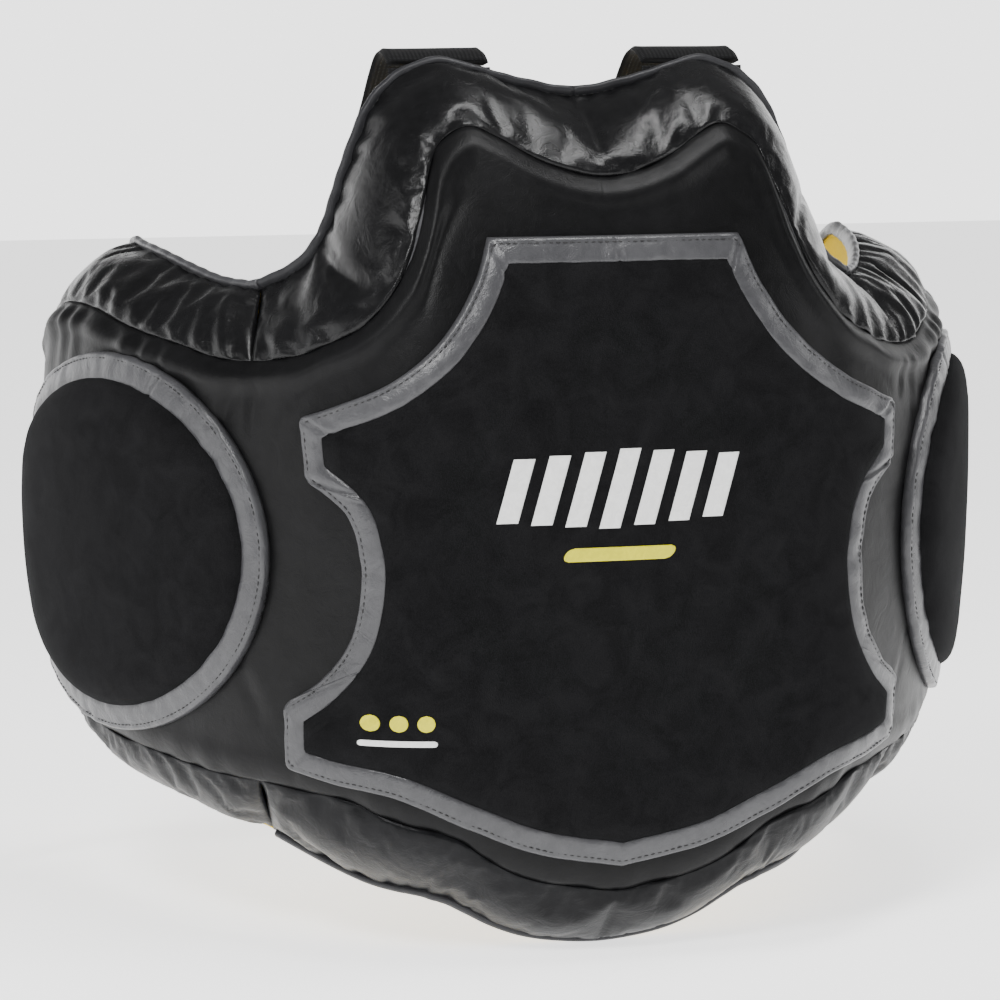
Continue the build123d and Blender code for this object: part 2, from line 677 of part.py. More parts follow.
side_pieces = {
    "wing_cover": joined(wing_sections(0, SKIN, 0)),
    "wing_lining": joined(wing_sections(WALL - SKIN, WALL, 0)),
    "wing_impact_foam": joined(wing_sections(IN, CORE_SPLIT, EDGE, end=WING_END - IN)),
    "wing_comfort_foam": joined(wing_sections(CORE_SPLIT + GAP, WALL - IN, EDGE, end=WING_END - IN)),
    "wing_top_gusset": wing_gusset(True),
    "wing_bottom_gusset": wing_gusset(False),
    "wing_rear_gusset": joined(wing_sections(IN, WALL - IN, 0, start=WING_END - SKIN)),
    "armhole_piping": wing_piping(),
    "side_target_foam": side_target(PAD_GAP, SIDE_PAD_RISE - SKIN, -BINDING - GAP),
    "side_target_face": side_target(SIDE_PAD_RISE - SKIN + GAP, SIDE_PAD_RISE, -BINDING - GAP),
    "side_target_ring": side_target(PAD_GAP, SIDE_RING_RISE, 0, hole=-BINDING),
    "strap_tab": strap_tab(),
    "shoulder_strap": wide_strap(),
    "strap_webbing": strap_webbing(),
    "strap_slider": slider(),
    "strap_buckle_frame": buckle_frame(SHOULDER_BUCKLE, STRAP_WEB),
    "strap_buckle_outer_prong": buckle_prong(SHOULDER_BUCKLE, STRAP_WEB, 1),
    "strap_buckle_inner_prong": buckle_prong(SHOULDER_BUCKLE, STRAP_WEB, -1),
    "strap_buckle_socket": buckle_socket(SHOULDER_BUCKLE, STRAP_WEB),
    "belt_riser": belt_riser(),
}
for name, part in side_pieces.items():
    pieces["left_" + name] = part
    pieces["right_" + name] = mirrored(part)
left_end = WAIST_BUCKLE_X + PRONG + SOCKET_GAP + SOCKET_LENGTH - SOCKET_LAP
right_end = WAIST_BUCKLE_X - FRAME_LENGTH + FRAME_LAP
pieces["left_belt_webbing"] = belt_webbing(left_end)
pieces["right_belt_webbing"] = mirrored(belt_webbing(-right_end))

for name, part in pieces.items():
    part.label = name
    export_step(part, f"parts/{name}.step")
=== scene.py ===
"""Looks of the padded chest protector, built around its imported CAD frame.

Lengths are in mm here, and new_object turns them into Blender's metres.
"""
import json
from math import cos, pi, radians, sin

import bmesh
import bpy
import numpy as np
from mathutils import Matrix, Vector
from mathutils.bvhtree import BVHTree


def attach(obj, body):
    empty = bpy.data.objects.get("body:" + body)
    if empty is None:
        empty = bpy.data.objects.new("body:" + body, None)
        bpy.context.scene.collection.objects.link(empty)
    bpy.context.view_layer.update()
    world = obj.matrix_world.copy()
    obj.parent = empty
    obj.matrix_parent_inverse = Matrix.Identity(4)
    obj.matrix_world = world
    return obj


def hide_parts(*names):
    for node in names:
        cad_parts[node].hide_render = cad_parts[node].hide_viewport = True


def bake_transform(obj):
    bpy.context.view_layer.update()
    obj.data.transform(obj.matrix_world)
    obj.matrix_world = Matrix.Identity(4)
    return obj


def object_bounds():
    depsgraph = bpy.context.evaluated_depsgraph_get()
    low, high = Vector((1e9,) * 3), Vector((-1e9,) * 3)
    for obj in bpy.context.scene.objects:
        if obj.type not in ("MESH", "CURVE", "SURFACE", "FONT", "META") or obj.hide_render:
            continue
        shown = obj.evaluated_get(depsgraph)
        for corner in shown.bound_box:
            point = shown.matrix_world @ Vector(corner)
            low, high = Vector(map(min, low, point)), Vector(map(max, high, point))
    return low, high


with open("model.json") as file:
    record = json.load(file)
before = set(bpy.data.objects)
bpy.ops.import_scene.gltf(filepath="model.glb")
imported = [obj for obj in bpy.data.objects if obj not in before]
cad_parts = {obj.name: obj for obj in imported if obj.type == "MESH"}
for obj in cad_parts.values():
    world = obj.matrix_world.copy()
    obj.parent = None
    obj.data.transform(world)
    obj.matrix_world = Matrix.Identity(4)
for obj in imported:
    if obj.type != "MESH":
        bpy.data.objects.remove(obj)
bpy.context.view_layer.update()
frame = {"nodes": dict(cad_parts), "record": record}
MM = 0.001

# ---------------------------------------------------------------- driving dimensions (mm, degrees)
FRONT_Y = -190.0
ARC_RADII = (750.0, 100.0, 400.0, 150.0)   # tangent arcs of the skin seen from above
ARC_ENDS = (8.0, 40.0, 80.0, 180.0)
FULLEST_Z = 44.0
LEAN_ABOVE = 1.42e-3
LEAN_BELOW = 0.30e-3
WALL = 44.0
COVER_THICK = 1.6
LINING_THICK = 1.5
FOLD_RUN = 216.0                            # distance along the skin to the fold of a wing
JOINT_STATION = 12                          # station of the seam that joins the gussets
LAST_STATION = 21.0                         # station of a wing's rear end
WING_END = 545.0                            # distance along the skin to that end
SIDES = {"left": 1.0, "right": -1.0}

# Stations round one side, centre front to wing end. Outer seams are (run along the skin, height).
SEAM_TOP = [(0, 206), (36, 214), (65, 229), (84, 236), (102, 227), (112, 212), (118, 194), (126, 168),
            (138, 144), (160, 122), (187, 110), (204, 104), (237, 100), (268, 101), (300, 107), (349, 114),
            (391, 122), (430, 125), (465, 122), (500, 110), (530, 92), (545, 78)]
SEAM_LOW = [(0, -214), (28, -210), (50, -206), (68, -199), (84, -189), (96, -180), (108, -175), (121, -172),
            (136, -169), (155, -164), (180, -156), (204, -154), (242, -151), (270, -150), (302, -147),
            (349, -142), (391, -138), (430, -128), (470, -116), (506, -101), (530, -91), (545, -84)]
# Rear top edge: (X, Y, Z) along the chest, then (run, height) on the inside of the wing.
CHEST_EDGE = [(0, -80, 253), (34, -79, 259), (58, -76, 268), (81, -71, 274), (101, -70, 268), (113, -70, 258),
              (123, -70, 244), (133, -70, 220), (140, -70, 200), (147, -69, 178), (155, -68, 163),
              (165, -60, 151)]
WING_EDGE = [(275, 140), (295, 139), (320, 141), (356, 147), (396, 153), (435, 157), (470, 159), (503, 152),
             (528, 134), (545, 114)]
EDGE_LOW = [(0, -252), (28, -250), (50, -246), (70, -239), (88, -230), (103, -223), (118, -221), (134, -219),
            (150, -218), (168, -217), (190, -214), (214, -208), (274, -191), (298, -188), (325, -185),
            (362, -181), (400, -177), (438, -166), (475, -152), (510, -137), (530, -127), (545, -117)]

TARGET_HALF = [(0, 173), (78, 173), (88, 145), (108, 115), (138, 91), (172, 77), (194, 70), (190, 34),
               (164, 15), (156, -8), (156, -32), (164, -60), (185, -84), (211, -100), (213, -139),
               (181, -146), (137, -153), (92, -172), (52, -188), (0, -198)]
TARGET_MIDDLE = (0.0, -10.0)
TARGET_CORNERS = (1, 6, 7, 13, 14)          # outline points that are true corners
SIDE_CENTRE = (366.0, -17.0)
SIDE_HALF = (147.0, 116.0)
SIDE_TILT = -6.0


# ---------------------------------------------------------------- the skin
def plan(run):
    """Plan position and outward direction of the skin at signed distances from the centre front."""
    run = np.asarray(run, float)
    side = np.where(run < 0, -1.0, 1.0)
    left = np.abs(run)
    x0, y0, t0 = 0.0, FRONT_Y, 0.0
    x, y, turn = np.zeros_like(left), np.zeros_like(left), np.zeros_like(left)
    open_ = np.ones(left.shape, bool)
    for radius, end in zip(ARC_RADII, ARC_ENDS):
        t1 = radians(end)
        length = radius * (t1 - t0)
        here = open_ & (left <= length)
        t = t0 + left / radius
        x = np.where(here, x0 + radius * (np.sin(t) - sin(t0)), x)
        y = np.where(here, y0 + radius * (cos(t0) - np.cos(t)), y)
        turn = np.where(here, t, turn)
        open_ &= ~here
        x0 += radius * (sin(t1) - sin(t0))
        y0 += radius * (cos(t0) - cos(t1))
        left = left - length
        t0 = t1
    return side * x, y, side * turn


def lean(z):
    """How far the skin has fallen back from its fullest line."""
    return np.where(z > FULLEST_Z, LEAN_ABOVE, LEAN_BELOW) * (z - FULLEST_Z) ** 2


def skin(run, z, out=0.0):
    """Points of the skin in mm, `out` proud of it."""
    run, z, out = np.broadcast_arrays(np.asarray(run, float), np.asarray(z, float), np.asarray(out, float))
    x, y, turn = plan(run)
    reach = out - lean(z)
    return np.stack([x + reach * np.sin(turn), y - reach * np.cos(turn), z], -1)


def catmull_rom(p0, p1, p2, p3, t):
    """Point at share t of the way from p1 to p2."""
    return 0.5 * (2 * p1 + (p2 - p0) * t + (2 * p0 - 5 * p1 + 4 * p2 - p3) * t ** 2
                  + (3 * p1 - p0 - 3 * p2 + p3) * t ** 3)


def unit(vectors):
    return vectors / np.linalg.norm(vectors, axis=-1, keepdims=True)


def travelled(points):
    """Distance along a path at each of its points."""
    return np.concatenate([[0], np.cumsum(np.linalg.norm(np.diff(points, axis=0), axis=1))])


def curve_through(points, at):
    """Catmull-Rom curve through set points, sampled at fractional stations."""
    points = np.asarray(points, float)
    at = np.asarray(at, float)
    low = np.clip(np.floor(at).astype(int), 0, len(points) - 2)
    t = (at - low)[..., None]
    mirror_x = np.array([-1.0] + [1.0] * (points.shape[1] - 1))
    before = np.vstack([points[1:2] * mirror_x, points, 2 * points[-1:] - points[-2:-1]])
    return catmull_rom(*(before[low + k] for k in range(4)), t)


REAR_TOP = CHEST_EDGE + [tuple(p) for p in skin(*np.array(WING_EDGE).T, -WALL + 1)]


def rear_low(at):
    run_z = curve_through(EDGE_LOW, at)
    return skin(run_z[..., 0], run_z[..., 1], -WALL + 1)


def rear_top(at):
    return curve_through(REAR_TOP, at)


def seam(points, at):
    run_z = curve_through(points, at)
    return skin(run_z[..., 0], run_z[..., 1])


def stations(spacing, first=0.0, last=LAST_STATION):
    """Fractional stations about `spacing` mm apart along the outer seam."""
    fine = np.linspace(first, last, 2000)
    along = travelled(seam(SEAM_TOP, fine))
    count = max(4, int(round(along[-1] / spacing)))
    return np.interp(np.linspace(0, along[-1], count + 1), along, fine)


# ---------------------------------------------------------------- meshes
def new_object(name, points, faces):
    """Mesh object from points in mm."""
    mesh = bpy.data.meshes.new(name)
    mesh.from_pydata([tuple(p) for p in np.asarray(points) * MM], [], faces)
    mesh.validate()
    mesh.shade_smooth()
    obj = bpy.data.objects.new(name, mesh)
    bpy.context.scene.collection.objects.link(obj)
    return obj


def normals(grid):
    """Unit normals of a grid of points, rows by columns; a grid that starts at X = 0 is half of a whole."""
    if np.all(np.abs(grid[:, 0, 0]) < 1e-6):
        whole = np.concatenate([grid[:, 2:0:-1] * np.array([-1.0, 1, 1]), grid], axis=1)
        return normals(whole)[:, 2:]
    n = np.cross(np.gradient(grid, axis=1), np.gradient(grid, axis=0))
    return n / np.maximum(np.linalg.norm(n, axis=-1, keepdims=True), 1e-9)


def quads(rows, cols, base=0, wrap=False, flip=False):
    faces = []
    for r in range(rows - 1):
        for c in range(cols if wrap else cols - 1):
            c1 = (c + 1) % cols
            a, b = base + r * cols + c, base + r * cols + c1
            d, e = base + (r + 1) * cols + c, base + (r + 1) * cols + c1
            faces.append((a, b, e, d) if flip else (a, d, e, b))
    return faces


def end_caps(rows, sides, base=0):
    """Faces that close both ends of a stack of rings."""
    last = base + (rows - 1) * sides
    return [tuple(range(base, base + sides)), tuple(range(last + sides - 1, last - 1, -1))]


def shell(name, outer, inner):
    """Closed mesh between two grids of the same size."""
    rows, cols = outer.shape[:2]
    count = rows * cols
    faces = quads(rows, cols) + quads(rows, cols, count, flip=True)
    rim = [(r * cols + c, r * cols + c + 1, flip)
           for r, flip in ((0, False), (rows - 1, True)) for c in range(cols - 1)]
    rim += [(r * cols + c, (r + 1) * cols + c, flip)
            for c, flip in ((0, True), (cols - 1, False)) for r in range(rows - 1)]
    for a, b, flip in rim:
        face = (a, b, count + b, count + a)
        faces.append(face[::-1] if flip else face)
    return new_object(name, np.concatenate([outer.reshape(-1, 3), inner.reshape(-1, 3)]), faces)


def mark_flat(obj, flat):
    """Give a mesh its flat coordinates: one pair in mm for each point, stored in metres."""
    layer = obj.data.uv_layers.new(name="flat")
    loops = np.zeros(len(obj.data.loops), np.int32)
    obj.data.loops.foreach_get("vertex_index", loops)
    layer.data.foreach_set("uv", (flat * MM)[loops].astype(np.float32).ravel())


def tube(name, path, across, width, height, sides=14, power=2.6):
    """Rounded strip along a path; across is the direction of its width at each point."""
    along = unit(np.gradient(path, axis=0))
    across = unit(across - np.sum(across * along, 1, keepdims=True) * along)
    up = np.cross(along, across)
    angles = np.arange(sides) * 2 * pi / sides
    a = np.sign(np.cos(angles)) * np.abs(np.cos(angles)) ** (2 / power)
    b = np.sign(np.sin(angles)) * np.abs(np.sin(angles)) ** (2 / power)
    width = np.broadcast_to(width, len(path))[:, None, None]
    height = np.broadcast_to(height, len(path))[:, None, None]
    rings = (path[:, None] + across[:, None] * a[None, :, None] * width / 2
             + up[:, None] * b[None, :, None] * height / 2)
    faces = quads(len(path), sides, wrap=True) + end_caps(len(path), sides)
    return new_object(name, rings.reshape(-1, 3), faces)


def outward(obj):
    """Turn every face outward, and let the two halves of a piece meet smoothly at X = 0."""
    mesh = bmesh.new()
    mesh.from_mesh(obj.data)
    bmesh.ops.recalc_face_normals(mesh, faces=mesh.faces)
    mesh.to_mesh(obj.data)
    mesh.free()
    count = len(obj.data.vertices)
    place, normal = np.zeros(count * 3), np.zeros(count * 3)
    obj.data.vertices.foreach_get("co", place)
    middle = np.abs(place.reshape(-1, 3)[:, 0]) < 1e-6
    if middle.any() and not middle.all():
        obj.data.vertices.foreach_get("normal", normal)
        normal = normal.reshape(-1, 3)
        normal[middle, 0] = 0.0
        normal /= np.maximum(np.linalg.norm(normal, axis=1, keepdims=True), 1e-9)
        obj.data.normals_split_custom_set_from_vertices([tuple(n) for n in normal])
    return obj


def stitches(name, path, up, pitch=4.2, length=3.0, thick=0.75, closed=False):
    """Row of thread stitches lying on a path; up points away from the material."""
    path = np.asarray(path, float)
    if closed:
        path = np.vstack([path, path[:1]])
        up = np.vstack([up, up[:1]])
    along = travelled(path)
    count = max(1, int(along[-1] / pitch))
    points, faces = [], []
    sides = 6
    profile = [(-0.5, 0.0, -0.35), (-0.38, 0.7, 0.0), (0.0, 1.0, 0.3), (0.38, 0.7, 0.0), (0.5, 0.0, -0.35)]
    for k in range(count):
        middle = (k + 0.5) * pitch
        at = [np.interp(middle + d * length, along, path[:, i]) for d in (-0.5, 0.5) for i in range(3)]
        start, end = np.array(at[:3]), np.array(at[3:])
        lift = np.array([np.interp(middle, along, up[:, i]) for i in range(3)])
        way = (end - start) / np.linalg.norm(end - start)
        lift = lift - way * (lift @ way)
        lift /= np.linalg.norm(lift)
        side = np.cross(way, lift)
        base = len(points)
        for offset, fat, rise in profile:
            centre = (start + end) / 2 + way * offset * length + lift * thick * rise
            for s in range(sides):
                angle = 2 * pi * s / sides
                reach = thick * 0.5 * max(fat, 0.12)
                points.append(centre + (side * cos(angle) + lift * sin(angle)) * reach)
        faces += quads(len(profile), sides, base, wrap=True) + end_caps(len(profile), sides, base)
    return outward(new_object(name, points, faces))


# ---------------------------------------------------------------- surface relief
def edge_roll(depth_along, pull=4.0, reach=5.0, roll=2.0, roll_at=12.0, roll_wide=6.0):
    """Height of leather beside a seam: pulled in at the seam, then a soft padded roll."""
    d = np.maximum(depth_along, 0.0)
    return -pull * np.exp(-d / reach) + roll * np.exp(-((d - roll_at) / roll_wide) ** 2)


def crease(run, z, start, end, depth, wide):
    """Soft fold line in the leather between two (run, height) points, tapering to its ends."""
    start, end = np.array(start, float), np.array(end, float)
    way = end - start
    length = np.linalg.norm(way)
    way /= length
    dx, dz = run - start[0], z - start[1]
    along = (dx * way[0] + dz * way[1]) / length
    bow = 0.06 * length * np.sin(np.clip(along, 0, 1) * pi)
    across = dx * -way[1] + dz * way[0] - bow
    taper = np.clip(1 - np.abs(2 * along - 1) ** 3, 0, 1) * ((along > 0) & (along < 1))
    beside = 0.7 * np.exp(-((across - 2.0 * wide) / (1.6 * wide)) ** 2)
    return taper * depth * (beside - np.exp(-(across / wide) ** 2))


def ripple(run, z, scale, seed):
    """Smooth unevenness from a few crossing waves."""
    rng = np.random.default_rng(seed)
    total = 0.0
    for _ in range(7):
        angle = rng.uniform(0, 2 * pi)
        pitch = scale * rng.uniform(0.6, 1.8)
        phase = rng.uniform(0, 2 * pi)
        total = total + np.sin((run * cos(angle) + z * sin(angle)) * 2 * pi / pitch + phase)
    return total / 7


# Creases of the cover: start and end as (run, height), depth and width.
COVER_CREASES = {
    "right": [((88, 200), (120, 128), 1.6, 4.0), ((96, 226), (128, 170), 1.8, 4.0),
              ((112, 172), (150, 122), 1.4, 4.0), ((150, 118), (214, 62), 0.9, 5.0),
              ((236, 98), (262, 40), 1.0, 4.0), ((226, 96), (232, 52), 0.9, 3.5),
              ((230, -120), (262, -66), 0.9, 5.0), ((215, -150), (206, -112), 0.9, 3.5)],
    "left": [((90, 222), (118, 160), 1.2, 4.0), ((232, 98), (240, 48), 1.1, 4.0),
             ((222, 96), (214, 66), 0.9, 3.0), ((150, 118), (204, 74), 0.8, 5.0),
             ((226, -120), (250, -70), 0.8, 4.0)],
}
COVER_ROWS, COVER_SPACING = 110, 3.2


def cover_grid():
    """Run and height of each point of one side's outer leather."""
    at = stations(COVER_SPACING)
    top, low = curve_through(SEAM_TOP, at), curve_through(SEAM_LOW, at)
    share = np.linspace(0, 1, COVER_ROWS)[:, None, None]
    share = 0.5 - 0.5 * np.cos(share * pi) * 0.35 - 0.5 * (1 - 2 * share) * 0.65
    flat = top[None] * (1 - share) + low[None] * share
    return flat[..., 0], flat[..., 1]


def seam_distance(run, z, points):
    """Distance in mm on the flat skin from each point to a seam line."""
    line = curve_through(points, np.linspace(0, len(points) - 1, 240))
    best = np.full(run.shape, 1e9)
    for a, b in zip(line[:-1], line[1:]):
        way = b - a
        t = np.clip(((run - a[0]) * way[0] + (z - a[1]) * way[1]) / max(way @ way, 1e-9), 0, 1)
        best = np.minimum(best, np.hypot(run - a[0] - t * way[0], z - a[1] - t * way[1]))
    return best


def cover_relief(run, z, side):
    """Height of the leather over the plain skin."""
    to_top, to_low = seam_distance(run, z, SEAM_TOP), seam_distance(run, z, SEAM_LOW)
    relief = edge_roll(to_top, 4.0, 4.5, 3.6, 10.5, 6.5) + edge_roll(to_low, 3.5, 4.5, 1.2, 12.0, 7.0)
    relief += 0.5 * ripple(run, z, 70, 3) + 0.25 * ripple(run, z, 26, 4)
    for start, end, depth, wide in COVER_CREASES[side]:
        relief += crease(run, z, start, end, depth, wide) * np.clip((to_top - 3) / 12, 0, 1)
    gather = np.exp(-to_top / 22) * np.clip(to_top / 5, 0, 1) * np.clip((run - 245) / 40, 0, 1)
    uneven = 0.4 + 0.6 * np.abs(np.sin(run / 31.0))
    relief += 2.3 * gather * np.sin(run / 4.6 + 1.6 * np.sin(run / 17.0)) * uneven
    relief += 0.6 * np.exp(-to_low / 14) * np.sin(run / 6.1 + 2.0 * np.sin(run / 23.0))
    rear = np.maximum(WING_END - run, 0)
    return relief - 4.0 * np.exp(-rear / 5.0) + 1.5 * np.exp(-((rear - 12) / 7) ** 2)


GUSSET_ROWS, GUSSET_SPACING = 26, 3.4
GUSSET_LIFT = 4.0                           # how far a gusset's outer edge sits behind the skin
GUSSET_EASE = 9.0                           # length over which its bulge fades at a joint


def gusset_grid(low, first, last, bulge, both_ends=False):
    """Padded strip from the outer seam to the rear edge, and the distance along its outer edge."""
    at = stations(GUSSET_SPACING, first, last)
    outer = seam(SEAM_LOW if low else SEAM_TOP, at)
    inner = rear_low(at) if low else rear_top(at)
    run_z = curve_through(SEAM_LOW if low else SEAM_TOP, at)
    turn = plan(run_z[:, 0])[2]
    face = np.stack([np.sin(turn), -np.cos(turn), np.zeros_like(turn)], -1)
    outer = outer - face * GUSSET_LIFT
    share = (0.5 - 0.5 * np.cos(np.linspace(0, pi, GUSSET_ROWS)))[:, None, None]
    grid = outer[None] * (1 - share) + inner[None] * share
    n = normals(grid)
    if low:
        n = -n
    profile = (1 - np.abs(2 * share ** 0.72 - 1) ** 2.4) ** 0.8
    along = travelled(outer)
    lengthwise = 1 - np.exp(-(along[-1] - along) / GUSSET_EASE)
    if both_ends:
        lengthwise *= 1 - np.exp(-along / GUSSET_EASE)
    return grid + n * profile * bulge * lengthwise[None, :, None], along


def mirrored(grid, side):
    """The same grid for the side with this sign of X."""
    return grid * np.array([side, 1.0, 1.0])


# ---------------------------------------------------------------- materials
def shader(name, rough, specular=0.5, sheen=0.0):
    """New material: its node tree, its shader and an object-space coordinate."""
    material = bpy.data.materials.new(name)
    material.use_nodes = True
    tree = material.node_tree
    bsdf = tree.nodes["Principled BSDF"]
    bsdf.inputs["Roughness"].default_value = rough
    bsdf.inputs["Specular IOR Level"].default_value = specular
    bsdf.inputs["Sheen Weight"].default_value = sheen
    coords = tree.nodes.new("ShaderNodeTexCoord")
    return material, tree, bsdf, coords


def noise(tree, coords, scale, detail=3.0, rough=0.5, distortion=0.0):
    node = tree.nodes.new("ShaderNodeTexNoise")
    node.inputs["Scale"].default_value = scale
    node.inputs["Detail"].default_value = detail
    node.inputs["Roughness"].default_value = rough
    node.inputs["Distortion"].default_value = distortion
    tree.links.new(coords.outputs["Object"], node.inputs["Vector"])
    return node


def ramp(tree, source, stops):
    node = tree.nodes.new("ShaderNodeValToRGB")
    node.color_ramp.elements.remove(node.color_ramp.elements[0])
    for k, (at, color) in enumerate(stops):
        element = node.color_ramp.elements[0] if k == 0 else node.color_ramp.elements.new(at)
        element.position = at
        element.color = (*color, 1.0)
    tree.links.new(source, node.inputs["Fac"])
    return node.outputs["Color"]


def spread(tree, source, low, high):
    node = tree.nodes.new("ShaderNodeMapRange")
    node.inputs["From Min"].default_value = 0.3
    node.inputs["From Max"].default_value = 0.7
    node.inputs["To Min"].default_value = low
    node.inputs["To Max"].default_value = high
    tree.links.new(source, node.inputs["Value"])
    return node.outputs["Result"]


def bump(tree, height, strength, distance, under=None):
    node = tree.nodes.new("ShaderNodeBump")
    node.inputs["Strength"].default_value = strength
    node.inputs["Distance"].default_value = distance
    tree.links.new(height, node.inputs["Height"])
    if under is not None:
        tree.links.new(under, node.inputs["Normal"])
    return node.outputs["Normal"]


def math_node(tree, kind, *values):
    node = tree.nodes.new("ShaderNodeMath")
    node.operation = kind
    for socket, value in zip(node.inputs, values):
        if isinstance(value, (int, float)):
            socket.default_value = value
        else:
            tree.links.new(value, socket)
    return node.outputs[0]


def weighted(tree, first, share, second, second_share):
    """Weighted sum of two shader values."""
    scaled = math_node(tree, "MULTIPLY", second, second_share)
    return math_node(tree, "MULTIPLY_ADD", first, share, scaled)


def leather(name, dark, light, rough, grain=780.0, wrinkle=0.25, specular=0.5):
    """Grained synthetic leather: pebbled grain, faint drag wrinkles, uneven tone and polish."""
    material, tree, bsdf, coords = shader(name, rough[0], specular=specular)
    pebble = tree.nodes.new("ShaderNodeTexVoronoi")
    pebble.feature = "DISTANCE_TO_EDGE"
    pebble.inputs["Scale"].default_value = grain
    warp = noise(tree, coords, grain * 0.35, 2.0)
    shifted = tree.nodes.new("ShaderNodeVectorMath")
    shifted.operation = "MULTIPLY_ADD"
    tree.links.new(warp.outputs["Color"], shifted.inputs[0])
    shifted.inputs[1].default_value = (0.0014, 0.0014, 0.0014)
    tree.links.new(coords.outputs["Object"], shifted.inputs[2])
    tree.links.new(shifted.outputs[0], pebble.inputs["Vector"])
    drag = noise(tree, coords, 62.0, 5.0, 0.62, 1.4)
    cloud = noise(tree, coords, 9.0, 4.0)
    tone = noise(tree, coords, 150.0, 4.0, 0.6)
    mix = weighted(tree, cloud.outputs["Fac"], 0.6, tone.outputs["Fac"], 0.4)
    tree.links.new(ramp(tree, mix, [(0.36, dark), (0.64, light)]), bsdf.inputs["Base Color"])
    polish = weighted(tree, drag.outputs["Fac"], 0.5, cloud.outputs["Fac"], 0.5)
    tree.links.new(spread(tree, polish, *rough), bsdf.inputs["Roughness"])
    first = bump(tree, pebble.outputs["Distance"], 0.35, 0.0003)
    second = bump(tree, drag.outputs["Fac"], wrinkle, 0.0016, first)
    tree.links.new(second, bsdf.inputs["Normal"])
    return material


def suede(name, dark, light, sheen):
    """Napped suede: short mottled nap with brushed patches."""
    material, tree, bsdf, coords = shader(name, 0.92, specular=0.06, sheen=sheen)
    bsdf.inputs["Sheen Roughness"].default_value = 0.45
    bsdf.inputs["Sheen Tint"].default_value = (0.55, 0.57, 0.6, 1.0)
    nap = noise(tree, coords, 1500.0, 4.0, 0.75)
    patch = noise(tree, coords, 46.0, 5.0, 0.65, 0.8)
    brushed = noise(tree, coords, 11.0, 3.0)
    both = weighted(tree, nap.outputs["Fac"], 0.62, patch.outputs["Fac"], 0.38)
    tree.links.new(ramp(tree, both, [(0.4, dark), (0.62, light)]), bsdf.inputs["Base Color"])
    tree.links.new(spread(tree, brushed.outputs["Fac"], 0.84, 0.97), bsdf.inputs["Roughness"])
    first = bump(tree, nap.outputs["Fac"], 0.6, 0.0004)
    tree.links.new(bump(tree, patch.outputs["Fac"], 0.2, 0.0008, first), bsdf.inputs["Normal"])
    return material


def weave(name, dark, light, pitch, rough=0.75, sheen=0.3):
    """Woven webbing or cloth, from flat coordinates in metres."""
    material, tree, bsdf, coords = shader(name, rough, specular=0.12, sheen=sheen)
    bsdf.inputs["Sheen Roughness"].default_value = 0.4
    waves = []
    for axis, scale in (("X", 1.0), ("Y", 0.55)):
        wave = tree.nodes.new("ShaderNodeTexWave")
        wave.bands_direction = axis
        wave.inputs["Scale"].default_value = scale / pitch / 3.14159
        wave.inputs["Distortion"].default_value = 0.6
        wave.inputs["Detail"].default_value = 1.0
        tree.links.new(coords.outputs["UV"], wave.inputs["Vector"])
        waves.append(wave.outputs["Fac"])
    woven = math_node(tree, "MULTIPLY", *waves)
    fuzz = noise(tree, coords, 1200.0, 3.0, 0.7)
    blend_ = weighted(tree, woven, 0.7, fuzz.outputs["Fac"], 0.4)
    tree.links.new(ramp(tree, blend_, [(0.15, dark), (0.8, light)]), bsdf.inputs["Base Color"])
    tree.links.new(spread(tree, fuzz.outputs["Fac"], rough - 0.08, rough + 0.1), bsdf.inputs["Roughness"])
    tree.links.new(bump(tree, blend_, 0.6, 0.0006), bsdf.inputs["Normal"])
    return material


def moulded(name, dark, light, rough):
    """Moulded plastic or foam skin with a fine spark-eroded texture and scuffs."""
    material, tree, bsdf, coords = shader(name, rough)
    fine = noise(tree, coords, 1600.0, 2.0, 0.6)
    scuff = noise(tree, coords, 120.0, 6.0, 0.7, 2.0)
    tree.links.new(ramp(tree, scuff.outputs["Fac"], [(0.4, dark), (0.75, light)]), bsdf.inputs["Base Color"])
    tree.links.new(spread(tree, scuff.outputs["Fac"], rough - 0.08, rough + 0.12), bsdf.inputs["Roughness"])
    tree.links.new(bump(tree, fine.outputs["Fac"], 0.25, 0.0002), bsdf.inputs["Normal"])
    return material


LOOKS = {
    "cover_leather": leather("cover_leather", (0.003, 0.003, 0.0032), (0.0065, 0.0065, 0.007), (0.33, 0.45),
                             specular=0.13),
    "gusset_leather": leather("gusset_leather", (0.0035, 0.0035, 0.0038), (0.008, 0.008, 0.0086), (0.19,
                                                                                                   0.31),
                              wrinkle=0.35, specular=0.24),
    "binding_leather": leather("binding_leather", (0.036, 0.036, 0.039), (0.062, 0.062, 0.066), (0.24, 0.38),
                               grain=900.0, wrinkle=0.5, specular=0.45),
    "piping_leather": leather("piping_leather", (0.016, 0.016, 0.018), (0.032, 0.032, 0.035), (0.34, 0.48),
                              grain=900.0, specular=0.25),
    "target_suede": suede("target_suede", (0.0034, 0.0034, 0.0037), (0.0105, 0.0105, 0.0112), 0.02),
    "lining_cloth": weave("lining_cloth", (0.6, 0.4, 0.0), (0.9, 0.68, 0.01), 0.0016, 0.7, 0.1),
    "impact_foam": moulded("impact_foam", (0.03, 0.03, 0.033), (0.07, 0.07, 0.075), 0.8),
    "comfort_foam": moulded("comfort_foam", (0.2, 0.2, 0.21), (0.3, 0.3, 0.32), 0.85),
    "webbing": weave("webbing", (0.002, 0.002, 0.0023), (0.012, 0.012, 0.013), 0.0014, sheen=0.06),
    "buckle_plastic": moulded("buckle_plastic", (0.006, 0.006, 0.0065), (0.014, 0.014, 0.015), 0.4),
}
